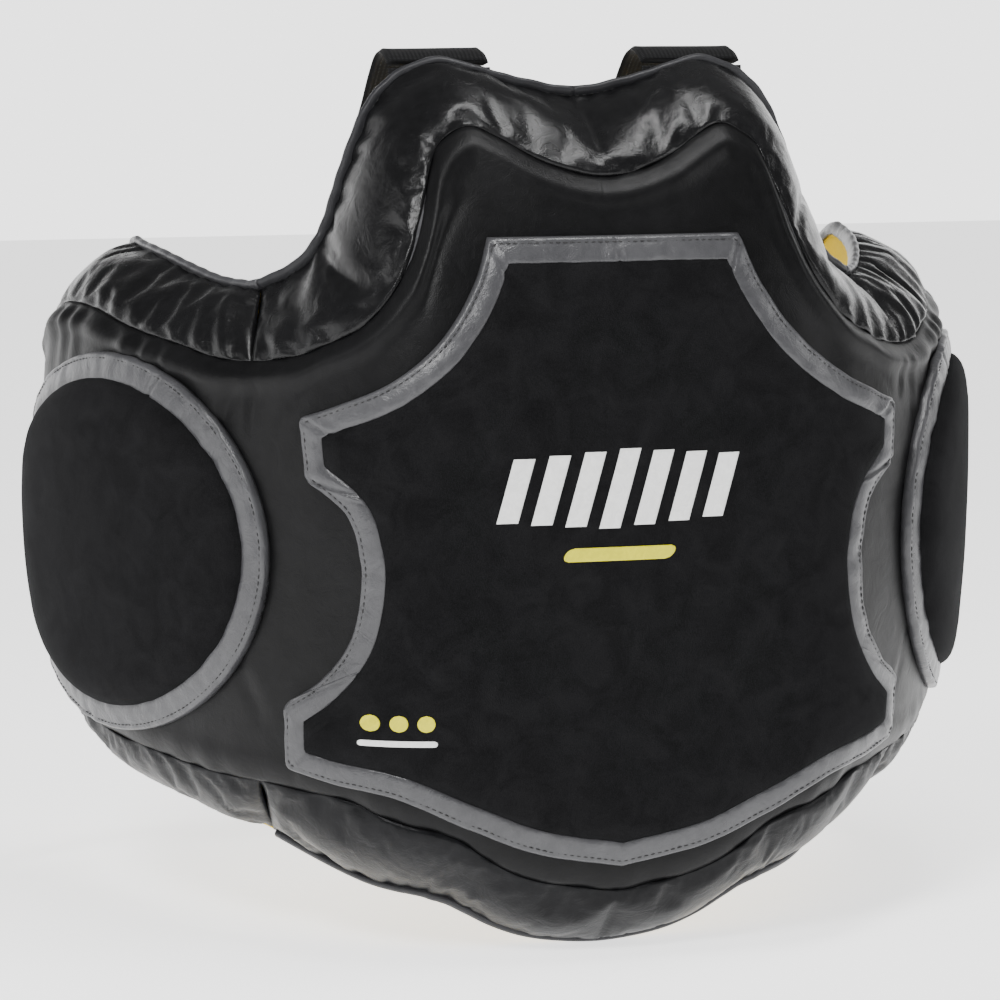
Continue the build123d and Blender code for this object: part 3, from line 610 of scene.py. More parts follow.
# Copy of the gusset leather for the down-facing belly and bottom gussets, toned against the light from the
# bright floor below: painted shade, a cooler tone with less shine than the top gussets.
SHADED_UNDERSIDE_LEATHER = leather("shaded_underside_leather", (0.0036, 0.0037, 0.0042), (0.0082, 0.0084, 0.0094), (0.28, 0.4),
                    wrinkle=0.35, specular=0.12)
THREAD = moulded("thread", (0.006, 0.006, 0.006), (0.02, 0.02, 0.02), 0.6)
WHITE_PRINT = moulded("white_print", (0.72, 0.72, 0.71), (0.86, 0.86, 0.85), 0.5)
YELLOW_PRINT = moulded("yellow_print", (0.56, 0.52, 0.0), (0.7, 0.64, 0.0), 0.5)


def dress(obj, slot, look=None):
    """Give a piece its material: the look given, else the one for its slot."""
    obj.data.materials.clear()
    obj.data.materials.append(look or LOOKS[slot])
    return obj


# ---------------------------------------------------------------- pieces that span the front and a wing
FOLD = skin(FOLD_RUN, FULLEST_Z)[:2]
FOLD_TURN = float(plan(FOLD_RUN)[2])


def across_fold(obj):
    """Bake a piece's placement into its mesh; the piece is not bent between the front and the wing of one
    side.
    """
    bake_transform(obj)
    return obj


# ---------------------------------------------------------------- the padded body
WEAVE_SIZE = (430, 640)                     # height and width over which the lining's weave is laid
TAB_LOW, TAB_FRONT = 190.0, -70.6           # the lining stays in front of the sewn strap tabs


def lining_points(at, share):
    """Inner face of the padding: stations by shares of the way down from the top edge."""
    top, low = rear_top(at), rear_low(at)
    run_low = curve_through(EDGE_LOW, at)[:, 0]
    wing = np.clip(at - 11, 0, 1)[:, None]
    under = skin(run_low, 55.0, -WALL + 1)
    belly = skin(run_low, -100.0, -WALL + 1)
    drop = top + np.array([0, 0, -55.0])
    high = drop * (1 - wing) + (top * 0.66 + under * 0.34) * wing
    knots = np.stack([top, high, under, belly, low])
    knots = np.concatenate([2 * knots[:1] - knots[1:2], knots, 2 * knots[-1:] - knots[-2:-1]])
    s = np.clip(share * 4, 0, 4 - 1e-9)
    k = np.floor(s).astype(int)
    t = (s - k)[:, None, None]
    face = catmull_rom(*(knots[k + j] for j in range(4)), t)
    behind_tab = (face[..., 2] > TAB_LOW) & (face[..., 1] > TAB_FRONT)
    face[..., 1] = np.where(behind_tab, TAB_FRONT, face[..., 1])
    return face


def skin_points(at, share):
    """Plain outer skin at stations by shares of the way down."""
    top, low = curve_through(SEAM_TOP, at), curve_through(SEAM_LOW, at)
    s = share[:, None, None]
    flat = top[None] * (1 - s) + low[None] * s
    return skin(flat[..., 0], flat[..., 1])


def layer(name, sign, outer, inner):
    """Closed layer between two grids, on the side with this sign of X."""
    return outward(shell(name, mirrored(outer, sign), mirrored(inner, sign)))


def make_cover(side):
    run, z = cover_grid()
    relief = cover_relief(run, z, side)
    obj = layer(side + "_cover", SIDES[side], skin(run, z, relief), skin(run, z, relief - COVER_THICK))
    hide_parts("front_cover", side + "_wing_cover")
    return across_fold(dress(obj, "cover_leather"))


SETTLE_FRAMES = 20
SETTLE_CAP = 3.0                            # no point of a gusset moves further than this while it settles


def settled(grid, out):
    """Let a leather strip with pinned borders settle over its padding as cloth."""
    rows, cols = grid.shape[:2]
    faces = quads(rows, cols)
    sheet = new_object("settling", grid.reshape(-1, 3), faces)
    centre = rows // 2 * cols + cols // 2
    if Vector(sheet.data.vertices[centre].normal).dot(Vector(out[rows // 2, cols // 2])) < 0:
        sheet.data.flip_normals()
    r, c = np.divmod(np.arange(rows * cols), cols)
    from_edge = np.minimum(np.minimum(r, rows - 1 - r), np.minimum(c, cols - 1 - c))
    pins = sheet.vertex_groups.new(name="pins")
    pins.add([int(i) for i in np.flatnonzero(from_edge < 2)], 1.0, "REPLACE")
    cloth = sheet.modifiers.new("cloth", "CLOTH")
    cloth.settings.quality = 6
    cloth.settings.mass = 0.02
    cloth.settings.tension_stiffness = 15
    cloth.settings.compression_stiffness = 12
    cloth.settings.shear_stiffness = 6
    cloth.settings.bending_stiffness = 0.6
    cloth.settings.air_damping = 1.5
    cloth.settings.shrink_min = -0.018
    cloth.settings.use_pressure = True
    cloth.settings.uniform_pressure_force = 4.0
    cloth.settings.vertex_group_mass = "pins"
    cloth.settings.effector_weights.gravity = 0.0
    cloth.point_cache.frame_start = 1
    cloth.point_cache.frame_end = SETTLE_FRAMES
    for step in range(1, SETTLE_FRAMES + 1):
        bpy.context.scene.frame_set(step)
    shape_ = sheet.evaluated_get(bpy.context.evaluated_depsgraph_get()).to_mesh()
    place = np.zeros(rows * cols * 3)
    shape_.vertices.foreach_get("co", place)
    bpy.context.scene.frame_set(1)
    bpy.data.objects.remove(sheet)
    moved = place.reshape(grid.shape) / MM - grid
    far = np.linalg.norm(moved, axis=-1, keepdims=True)
    return grid + moved * np.minimum(1.0, SETTLE_CAP / np.maximum(far, 1e-9))


def leather_half(name, grid, out, replaces, low):
    obj = outward(shell(name, grid, grid - out * COVER_THICK))
    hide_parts(replaces)
    # Down-facing gussets take the shaded copy of the gusset leather: painted shade.
    return dress(obj, "gusset_leather", SHADED_UNDERSIDE_LEATHER if low else None)


def make_front_gusset(low):
    """Yoke or belly gusset: one strip from joint to joint, kept as two halves that meet in the middle."""
    halves = []
    for side, sign in SIDES.items():
        grid, along = gusset_grid(low, 0, JOINT_STATION, 7.0 if low else 6.5)
        halves.append(mirrored(pucker(grid, along, low, False, side), sign))
    left, right = halves
    middle = left.shape[1] - 1
    whole = np.concatenate([right[:, :0:-1], left], axis=1)
    facing = -1.0 if low else 1.0
    whole = settled(whole, normals(whole) * facing)
    whole[:, middle, 0] = 0.0
    out = normals(whole) * facing
    place = "belly" if low else "yoke"
    parts = {"left": (whole[:, middle:], out[:, middle:]),
             "right": (whole[:, :middle + 1][:, ::-1], out[:, :middle + 1][:, ::-1])}
    for side, (grid, facing_out) in parts.items():
        across_fold(leather_half("%s_%s_leather" % (side, place), grid, facing_out, place + "_gusset", low))


def make_wing_gusset(side, low):
    grid, along = gusset_grid(low, JOINT_STATION, LAST_STATION, 7.0 if low else 7.5, both_ends=True)
    grid = pucker(grid, along, low, True, side)
    grid = settled(grid, normals(grid) * (-1 if low else 1))
    out = normals(grid) * (-1 if low else 1)
    place = "bottom" if low else "top"
    node = "%s_wing_%s_gusset" % (side, place)
    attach(leather_half(node + "_leather", mirrored(grid, SIDES[side]), mirrored(out, SIDES[side]), node,
                         low), side + "_wing")


def pucker(grid, along, low, wing, side):
    """Gathers near the seams and broad folds along a gusset."""
    rows, cols = grid.shape[:2]
    share = np.linspace(0, 1, rows)[:, None]
    s = along[None, :]
    n = normals(grid) * (-1 if low else 1)
    phase = 0.0 if side == "left" else 1.9
    edge = np.minimum(share, 1 - share)
    near = np.exp(-edge / 0.16) * np.clip(edge / 0.04, 0, 1)
    waves = np.sin(s / 5.2 + 2.2 * np.sin(s / 19.0 + phase) + 3.0 * share)
    gate = np.clip(np.sin(s / 37.0 + 2.0 * phase + 5.0 * share) + 0.35, 0, 1)
    height = 0.9 * near * waves * gate
    height += 1.5 * np.sin(s / 27.0 + 1.7 * np.sin(share * 4 + phase) + phase) * np.sin(share * pi) ** 1.5
    height += 0.5 * np.sin(s / 11.0 - 6.0 * share + 2.5 * np.sin(s / 41.0)) * np.sin(share * pi) ** 2 * gate
    from_joint = s if wing else s[:, -1:] - s
    if not low:
        fan = np.exp(-from_joint / (75.0 if wing else 45.0)) * np.clip(from_joint / 10.0, 0, 1)
        gather = np.sin(from_joint / 3.6 - 3.5 * share + phase)
        height += 2.4 * fan * gather * np.exp(-share / 0.5) * np.clip(share / 0.06, 0, 1)
    fade = np.clip(s / 12.0, 0, 1) if not wing else 1.0
    return grid + n * (height * fade)[..., None]


def make_rear_gusset(side):
    share = np.linspace(0, 1, 60)
    outer = skin_points(np.array([LAST_STATION]), share)[:, 0]
    inner = lining_points(np.array([LAST_STATION]), share)[:, 0]
    turn = float(plan(WING_END)[2])
    back = np.array([cos(turn), sin(turn), 0.0])
    c = np.linspace(0, 1, 14)[None, :, None]
    bulge = (1 - np.abs(2 * c - 1) ** 2.4) ** 0.8 * 7.0
    ends = (1 - np.abs(2 * share - 1) ** 8)[:, None, None]
    grid = outer[:, None] * (1 - c) + inner[:, None] * c + back * bulge * ends
    thin = grid - back * COVER_THICK
    obj = layer(side + "_wing_rear_gusset_leather", SIDES[side], grid, thin)
    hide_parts(side + "_wing_rear_gusset")
    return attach(dress(obj, "gusset_leather"), side + "_wing")


def make_lining(side):
    at = stations(6.0)
    share = np.linspace(0, 1, 56)
    face = lining_points(at, share)
    toward = unit(skin_points(at, share) - face)
    obj = layer(side + "_lining", SIDES[side], face, face + toward * LINING_THICK)
    v, u = np.meshgrid(np.linspace(0, WEAVE_SIZE[0], len(share)), np.linspace(0, WEAVE_SIZE[1], len(at)),
                       indexing="ij")
    mark_flat(obj, np.tile(np.stack([u, v], -1).reshape(-1, 2), (2, 1)))
    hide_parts("front_lining", side + "_wing_lining")
    return across_fold(dress(obj, "lining_cloth"))


def make_foam(name, at, near, far, slot, node, body, sign):
    """Foam block between two shares of the wall."""
    share = np.linspace(0.035, 0.965, 26)
    outer, inner = skin_points(np.abs(at), share), lining_points(np.abs(at), share)
    flip = np.where(at < 0, -1.0, 1.0)[None, :, None] * np.array([1.0, 0, 0]) + np.array([0, 1.0, 1.0])
    outer, inner = outer * flip, inner * flip
    a, b = outer * (1 - near) + inner * near, outer * (1 - far) + inner * far
    obj = layer(name, sign, a, b)
    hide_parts(node)
    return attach(dress(obj, slot), body)


def make_edge_binding(side, wing):
    """Folded tape over the top rear edge of the chest or of one wing."""
    first, last = (JOINT_STATION, LAST_STATION) if wing else (0, JOINT_STATION)
    at = stations(3.0, first, last)
    path = rear_top(at)
    name = side + ("_armhole" if wing else "_neck")
    look = LOOKS["binding_leather"] if wing else LOOKS["piping_leather"]
    across = unit(path - seam(SEAM_TOP, at))
    up = np.cross(across, unit(np.gradient(path, axis=0)))
    up *= np.sign(up[:, 2:3] + 1e-6)
    wobble = 0.25 * np.sin(np.arange(len(path)) * 0.9)[:, None]
    under_strap = np.exp(-((path[:, 0] - STRAP_X) / 36.0) ** 4) * (path[:, 2] > TAB_LOW)
    path = path - under_strap[:, None] * np.array([0, 2.2, 1.6])
    obj = outward(tube(name + "_binding", mirrored(path + up * (0.8 + wobble), SIDES[side]),
                       mirrored(across, SIDES[side]), 5.6, 9.5 - 3.0 * under_strap))
    dress(obj, "piping_leather", look)
    line = path + up * 1.0 - across * 2.85
    thread = stitches(name + "_stitches", mirrored(line, SIDES[side]), mirrored(-across, SIDES[side]),
                      4.5, 3.0, 0.6)
    dress(thread, "piping_leather", THREAD)
    if wing:
        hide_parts(side + "_armhole_piping")
        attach(obj, side + "_wing")
        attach(thread, side + "_wing")
    else:
        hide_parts("neck_piping")
        across_fold(obj)
        across_fold(thread)


def make_hem_binding(side):
    at = stations(3.5)
    at = at[at <= JOINT_STATION + 0.001]
    path = rear_low(at)
    across = unit(path - seam(SEAM_LOW, at))
    obj = outward(tube(side + "_hem_binding", mirrored(path, SIDES[side]), mirrored(across, SIDES[side]),
                       6.0, 7.0))
    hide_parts("hem_piping")
    return across_fold(dress(obj, "piping_leather"))


# ---------------------------------------------------------------- striking targets
def smooth_outline(points, corners, spacing):
    """Closed symmetric outline: straight or curved between corners, evenly sampled."""
    marks = [0] + [c for c in corners] + [len(points) - 1]
    half = []
    for a, b in zip(marks[:-1], marks[1:]):
        part = np.array(points[a:b + 1], float)
        if len(part) == 2:
            fine = part[0] + (part[1] - part[0]) * np.linspace(0, 1, 60)[:, None]
        else:
            padded = np.vstack([2 * part[:1] - part[1:2], part, 2 * part[-1:] - part[-2:-1]])
            t = np.linspace(0, len(part) - 1 - 1e-9, 40 * (len(part) - 1))
            k = np.floor(t).astype(int)
            t = (t - k)[:, None]
            fine = catmull_rom(*(padded[k + j] for j in range(4)), t)
        half.append(fine)
    half = np.vstack(half)
    whole = np.vstack([half, (half * np.array([-1, 1]))[::-1][1:-1]])
    ring = np.vstack([whole, whole[:1]])
    along = travelled(ring)
    keep = np.linspace(0, along[-1], int(along[-1] / spacing) + 1)[:-1]
    return np.stack([np.interp(keep, along, ring[:, i]) for i in range(2)], -1)


def outline_distance(points, outline):
    """Distance from points to a closed outline."""
    best = np.full(len(points), 1e9)
    for a, b in zip(outline, np.roll(outline, -1, axis=0)):
        way = b - a
        t = np.clip(((points - a) @ way) / max(way @ way, 1e-9), 0, 1)
        best = np.minimum(best, np.hypot(*(points - a - t[:, None] * way).T))
    return best


def inset(outline, middle, distance):
    """Points on the rays from the middle that lie this far inside the outline."""
    if distance <= 0:
        return outline.copy()
    rays = outline - middle
    low, high = np.zeros(len(outline)), np.ones(len(outline))
    for _ in range(18):
        half = (low + high) / 2
        inside = outline_distance(middle + rays * half[:, None], outline) > distance
        low, high = np.where(inside, half, low), np.where(inside, high, half)
    return middle + rays * ((low + high) / 2)[:, None]


def shape(knots, distance):
    """Height from (distance, height) knots, eased between them."""
    xs, ys = zip(*knots)
    return np.interp(distance, xs, ys)


class Target:
    """A raised target: outline on the flat skin and where it sits."""

    def __init__(self, outline, middle, side, joints):
        self.outline, self.middle, self.side = outline, np.array(middle, float), side
        self.joints = np.array(joints, float)
        self.rings = {}

    def ring(self, distance):
        if distance not in self.rings:
            self.rings[distance] = inset(self.outline, self.middle, distance)
        return self.rings[distance]

    def place(self, flat, height):
        return mirrored(skin(flat[..., 0], flat[..., 1], height), self.side)

    def levels(self, first, knots, fan=14):
        """Rings of (flat points, height) from the rim to near the middle."""
        rows = []
        for distance in [d for d, _ in knots if d >= first]:
            rows.append((self.ring(distance), shape(knots, distance)))
        rim, height = rows[-1]
        for k in range(1, fan):
            f = 1 - k / fan
            rows.append((self.middle + (rim - self.middle) * f, height + 0.6 * (1 - f * f)))
        return rows

    def cushion(self, name, first, knots, thick, floor=None, waves=0.25, seed=5):
        """Closed cushion, or a thin leather when floor is None."""
        rows = self.levels(first, knots)
        flat = np.stack([r[0] for r in rows])
        height = np.stack([np.full(len(r[0]), r[1]) for r in rows])
        height = height + waves * ripple(flat[..., 0], flat[..., 1], 55, seed)
        top = self.place(flat, height)
        under = height - thick if floor is None else np.full(height.shape, floor)
        return self.close(name, top, self.place(flat, under), float(height[-1, 0]), float(under[-1, 0]))

    def close(self, name, top, low, top_height, low_height):
        rows, cols = top.shape[:2]
        count = rows * cols
        faces = quads(rows, cols, 0, wrap=True) + quads(rows, cols, count, wrap=True, flip=True)
        for c in range(cols):
            c1 = (c + 1) % cols
            faces.append((c, c1, count + c1, count + c))
            faces.append(((rows - 1) * cols + c, 2 * count, (rows - 1) * cols + c1))
            faces.append((count + (rows - 1) * cols + c1, 2 * count + 1, count + (rows - 1) * cols + c))
        poles = self.place(np.array([self.middle, self.middle]), np.array([top_height, low_height]))
        points = np.concatenate([top.reshape(-1, 3), low.reshape(-1, 3), poles])
        return outward(new_object(name, points, faces))

    def border(self, name, knots, rough=0.8, seed=9):
        """Leather ring with a closed section given by (distance, height) corners."""
        flat = np.stack([self.ring(d) for d, _ in knots])
        height = np.array([h for _, h in knots])[:, None] * np.ones(flat.shape[1])
        lift = (np.array([h for _, h in knots]) > 1.0)[:, None]
        height = height + lift * rough * ripple(flat[..., 0], flat[..., 1], 17, seed)
        height = height + lift * 0.4 * rough * ripple(flat[..., 0], flat[..., 1], 7, seed + 1)
        away = np.min(np.linalg.norm(self.outline[:, None] - self.joints[None], axis=-1), axis=1)
        height = height - lift * (1.1 * np.exp(-(away / 1.5) ** 2) - 0.5 * np.exp(-((away - 5) / 3) ** 2))
        grid = self.place(flat, height)
        rows, cols = grid.shape[:2]
        faces = quads(rows, cols, 0, wrap=True)
        for c in range(cols):
            c1 = (c + 1) % cols
            faces.append(((rows - 1) * cols + c, c, c1, (rows - 1) * cols + c1))
        return outward(new_object(name, grid.reshape(-1, 3), faces))

    def stitch_line(self, name, distance, height):
        flat = self.ring(distance)
        path = self.place(flat, height)
        up = self.place(flat, height + 1.0) - path
        obj = stitches(name, path, up, closed=True)
        return dress(obj, "binding_leather", THREAD)


# Sections as (distance in from the outline, height over the skin).
BORDER_SECTION = [(0.0, 0.0), (0.0, 3.0), (0.2, 5.2), (0.9, 6.6), (2.0, 7.2), (3.4, 6.9), (4.8, 7.3),
                  (8.0, 7.9), (11.5, 7.9), (13.8, 7.5), (14.8, 7.0), (15.0, 6.2), (14.5, 4.0), (8.0, 0.5)]
CENTRE_FACE = [(13.2, 5.6), (14.2, 6.6), (15.6, 7.6), (17.6, 8.5), (20.5, 9.2), (25.0, 9.8), (32.0, 10.3),
               (42.0, 10.6)]
RING_SECTION = [(0.0, 0.0), (0.0, 2.6), (0.2, 4.6), (0.9, 5.9), (2.0, 6.4), (3.4, 6.1), (4.8, 6.5),
                (9.0, 7.2), (13.0, 7.4), (15.6, 7.2), (16.7, 6.6), (17.0, 5.6), (16.0, 3.5), (8.0, 0.5)]
SIDE_FACE = [(15.0, 5.4), (15.8, 7.4), (17.0, 9.4), (19.0, 11.4), (22.0, 13.2), (26.5, 14.6), (33.0, 15.5),
             (44.0, 16.2)]


def make_centre_target():
    outline = smooth_outline(TARGET_HALF, TARGET_CORNERS, 2.6)
    joints = [(0.0, 173.0)] + [(sign * TARGET_HALF[c][0], TARGET_HALF[c][1]) for c in TARGET_CORNERS
                               for sign in SIDES.values()]
    target = Target(outline, TARGET_MIDDLE, 1.0, joints)
    face = target.cushion("centre_target_suede", 13.2, CENTRE_FACE, 1.2, seed=21)
    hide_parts("centre_target_face")
    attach(dress(face, "target_suede"), "front")
    inside = [(d, h - 1.5) for d, h in CENTRE_FACE]
    foam = target.cushion("centre_target_core", 14.2, inside, 0.0, floor=0.6, seed=21)
    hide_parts("centre_target_foam")
    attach(dress(foam, "impact_foam"), "front")
    border = target.border("centre_target_border", BORDER_SECTION)
    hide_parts("centre_target_binding")
    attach(dress(border, "binding_leather"), "front")
    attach(target.stitch_line("centre_target_stitches", 3.4, 6.9), "front")
    make_print(face)


def make_print(face):
    """Generic marks printed on the centre target: slanted bars, a dash and a small label."""
    mesh = face.data
    tree = BVHTree.FromPolygons([v.co for v in mesh.vertices], [p.vertices for p in mesh.polygons])

    def on_face(flat, height):
        points = []
        for x, z in flat.reshape(-1, 2):
            spot, normal, _, _ = tree.ray_cast(Vector((x * MM, -1.0, z * MM)), Vector((0, 1, 0)))
            points.append(np.array(spot) / MM + np.array([0, -1.0, 0]) * height)
        return np.array(points).reshape(flat.shape[:-1] + (3,))

    def patch(name, centre, size, slant, round_, look, rows=10, cols=24):
        v, u = np.meshgrid(np.linspace(-1, 1, rows), np.linspace(-1, 1, cols), indexing="ij")
        half_w, half_h = size[0] / 2, size[1] / 2
        reach = half_w - round_ * (1 - np.sqrt(np.clip(1 - v * v, 0, 1)))
        flat = np.stack([centre[0] + u * reach + v * half_h * slant, centre[1] + v * half_h], -1)
        obj = outward(shell(name, on_face(flat, 0.35), on_face(flat, -0.3)))
        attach(dress(obj, "target_suede", look), "front")

    bars = 7
    for k in range(bars):
        x = (k - (bars - 1) / 2) * 20.5 - 7
        patch("print_bar_%d" % k, (x, 29.0), (12.5, 46.0 - 3 * abs(k - 3)), 0.28, 0.0, WHITE_PRINT,
              rows=24, cols=8)
    patch("print_dash", (-7.0, -9.0), (66.0, 8.0), 0.5, 4.0, YELLOW_PRINT)
    for k in range(3):
        patch("print_dot_%d" % k, (-149.0 + 15 * k, -106.0), (10.0, 10.0), 0.0, 5.0, YELLOW_PRINT,
              rows=14, cols=10)
    patch("print_rule", (-134.0, -118.0), (43.0, 3.6), 0.0, 1.7, WHITE_PRINT)


def make_side_target(side):
    angle = np.linspace(0, 2 * pi, 300, endpoint=False)
    a, b, tilt = SIDE_HALF[0], SIDE_HALF[1], radians(SIDE_TILT)
    x, y = a * np.cos(angle), b * np.sin(angle)
    outline = np.stack([SIDE_CENTRE[0] + x * cos(tilt) - y * sin(tilt),
                        SIDE_CENTRE[1] + x * sin(tilt) + y * cos(tilt)], -1)
    target = Target(outline, SIDE_CENTRE, SIDES[side], [outline[len(outline) // 3]])
    body = side + "_wing"
    face = target.cushion(side + "_side_target_suede", 15.0, SIDE_FACE, 1.2, seed=31)
    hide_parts(side + "_side_target_face")
    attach(dress(face, "target_suede"), body)
    inside = [(d, h - 1.5) for d, h in SIDE_FACE]
    foam = target.cushion(side + "_side_target_core", 15.8, inside, 0.0, floor=0.6, seed=31)
    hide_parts(side + "_side_target_foam")
    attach(dress(foam, "impact_foam"), body)
    ring = target.border(side + "_side_target_border", RING_SECTION, seed=33)
    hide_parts(side + "_side_target_ring")
    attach(dress(ring, "binding_leather"), body)
    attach(target.stitch_line(side + "_side_target_stitches", 3.4, 6.1), body)


# ---------------------------------------------------------------- harness
STRAP_X, STRAP_WIDTH, STRAP_THICK = 79.0, 63.0, 4.0
STRAP_ROOT = (-64.0, 272.0)
ARCH, FALL, PAD_RUN, BACK_BEND = 30.0, radians(40.0), 150.0, 50.0
RISER_Y = 216.09
BELT_Y, BELT_Z, BELT_BEND, BELT_TURN = 213.89, -67.0, 90.0, radians(120.0)
BELT_ROOT = (253.43, 168.89)
WEB_DROP = 3.1


def run_line(distance, out=0.0):
    """(Y, Z) down the straight run of a shoulder strap."""
    centre = (STRAP_ROOT[0] + ARCH * sin(FALL), STRAP_ROOT[1] - ARCH * cos(FALL))
    reach = ARCH + out
    return (centre[0] + reach * sin(FALL) + distance * cos(FALL),
            centre[1] + reach * cos(FALL) - distance * sin(FALL))


def evenly(points, spacing):
    points = np.asarray(points, float)
    along = travelled(points)
    keep = np.linspace(0, along[-1], max(3, int(along[-1] / spacing)) + 1)
    return np.stack([np.interp(keep, along, points[:, i]) for i in range(points.shape[1])], -1)


def ribbon(name, path, across, width, thick, slot, body, node, sign=1.0, margin=4.0, flutter=0.35, seed=1):
    """Webbing along a path, with selvedges, a slight flutter and two rows of stitches."""
    path = evenly(path, 2.5)
    across = np.array(across, float)
    up = np.cross(unit(np.gradient(path, axis=0)), across)
    rows, sides = len(path), 44
    reach = np.linspace(-1, 1, sides // 2)
    round_ = np.minimum(1.0, (1 - np.abs(reach)) * width / 2 / (thick * 0.55)) ** 0.5
    edge = 1 + 0.10 * np.exp(-((1 - np.abs(reach)) * width / 2 / 2.4 - 1) ** 2)
    half = thick / 2 * round_ * edge
    profile = np.concatenate([np.stack([reach, half], -1), np.stack([reach[::-1], -half[::-1]], -1)])
    distance = np.arange(rows) * 2.5
    ease = np.clip(np.minimum(distance, distance[-1] - distance) / 30.0, 0, 1)[:, None]
    wave = flutter * ripple(profile[None, :, 0] * width / 2, distance[:, None], 48, seed) * ease
    narrow = 1 + 0.004 * np.sin(distance / 7.0)[:, None]
    grid = (path[:, None] + across * (profile[None, :, 0] * narrow)[..., None] * width / 2
            + up[:, None] * (profile[None, :, 1] + wave)[..., None])
    faces = quads(rows, len(profile), wrap=True) + end_caps(rows, len(profile))
    obj = outward(new_object(name, mirrored(grid, sign).reshape(-1, 3), faces))
    flat_x = profile[:, 0] * width / 2 + width
    mark_flat(obj, np.stack(np.meshgrid(distance, flat_x, indexing="ij"), -1).reshape(-1, 2))
    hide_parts(node)
    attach(dress(obj, slot), body)
    for k, offset in enumerate((-(width / 2 - margin), width / 2 - margin)):
        line = path + across * offset + up * (thick / 2 * 1.02)
        thread = stitches("%s_stitches_%d" % (name, k), mirrored(line, sign), mirrored(up, sign),
                          3.6, 2.6, 0.5)
        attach(dress(thread, slot, THREAD), body)
    return obj


def in_strap(points):
    """(Y, Z) points placed on the middle line of the left shoulder strap."""
    return [(STRAP_X, y, z) for y, z in points]


def make_harness():
    centre = (STRAP_ROOT[0] + ARCH * sin(FALL), STRAP_ROOT[1] - ARCH * cos(FALL))
    turns = np.linspace(-FALL, FALL, 24)
    arch = [(centre[0] + ARCH * sin(t), centre[1] + ARCH * cos(t)) for t in turns]
    wide = arch + [run_line(PAD_RUN)]
    bend_y = RISER_Y - BACK_BEND * (1 - sin(FALL))
    bend_run = (bend_y - run_line(0, -WEB_DROP)[0]) / cos(FALL)
    start = run_line(bend_run, -WEB_DROP)
    middle = (start[0] - BACK_BEND * sin(FALL), start[1] - BACK_BEND * cos(FALL))
    bend = [(middle[0] + BACK_BEND * sin(t), middle[1] + BACK_BEND * cos(t))
            for t in np.linspace(FALL, pi / 2, 16)]
    narrow = [run_line(PAD_RUN - 22, -WEB_DROP)] + bend + [(RISER_Y, 28.5)]
    belt_middle = (BELT_ROOT[0] - BELT_BEND * sin(BELT_TURN), BELT_ROOT[1] + BELT_BEND * cos(BELT_TURN))
    corner = [(belt_middle[0] + BELT_BEND * sin(t), belt_middle[1] - BELT_BEND * cos(t))
              for t in np.linspace(BELT_TURN, pi, 24)]
    upright = np.array([1.0, 0, 0])
    for side, sign in SIDES.items():
        body = side + "_strap"
        ribbon(side + "_wide_strap", in_strap(wide), upright, STRAP_WIDTH, STRAP_THICK, "webbing", body,
               side + "_shoulder_strap", sign, margin=5.0, seed=41)
        ribbon(side + "_narrow_strap", in_strap(narrow), upright, 38.0, 2.0, "webbing", body,
               side + "_strap_webbing", sign, flutter=0.2, seed=42)
        ribbon(side + "_sewn_tab", in_strap([(-67.7, 269.5), (-67.7, 224.0)]), upright, STRAP_WIDTH,
               STRAP_THICK,
               "webbing", "front", side + "_strap_tab", sign, margin=5.0, seed=43)
        ribbon(side + "_riser", in_strap([(RISER_Y, -34.0), (RISER_Y, -87.0)]), upright, 38.0, 2.0, "webbing",
               side + "_belt", side + "_belt_riser", sign, flutter=0.05, seed=44)
        end = 34.0 if side == "left" else 28.0
        belt = [(x, y, BELT_Z) for x, y in corner] + [(end, BELT_Y, BELT_Z)]
        ribbon(side + "_belt_strap", belt, (0, 0, 1.0), 50.0, 2.0, "webbing", side + "_belt",
               side + "_belt_webbing", sign, flutter=0.2, seed=45)


# ---------------------------------------------------------------- build everything
for side, sign in SIDES.items():
    make_cover(side)
    make_lining(side)
    make_rear_gusset(side)
    make_edge_binding(side, False)
    make_edge_binding(side, True)
    make_hem_binding(side)
    make_side_target(side)
    for low in (False, True):
        make_wing_gusset(side, low)
    for kind, start, near, far in (("impact", 12.2, 0.06, 0.5), ("comfort", 13.0, 0.52, 0.93)):
        make_foam("%s_wing_%s_block" % (side, kind), np.linspace(start, 20.8, 40), near, far, kind + "_foam",
                  "%s_wing_%s_foam" % (side, kind), side + "_wing", sign)
for kind, end, near, far in (("impact", 10.6, 0.05, 0.4), ("comfort", 10.0, 0.42, 0.94)):
    make_foam("front_%s_block" % kind, np.linspace(-end, end, 95), near, far, kind + "_foam",
              "front_%s_foam" % kind, "front", 1.0)
for low in (False, True):
    make_front_gusset(low)
make_centre_target()
make_harness()

for name, node in frame["nodes"].items():
    slot = next(s["material_slot"] for s in frame["record"]["subparts"] if s["node"] == name)
    node.data.materials.clear()
    node.data.materials.append(LOOKS[slot])

# ---------------------------------------------------------------- camera, light and floor
CAMERA = {"turn": 15.0, "rise": 6.82, "roll": -0.39, "distance": 2379.0, "lens": 142.6,
          "target": (-49.1, -90.0, 11.2)}


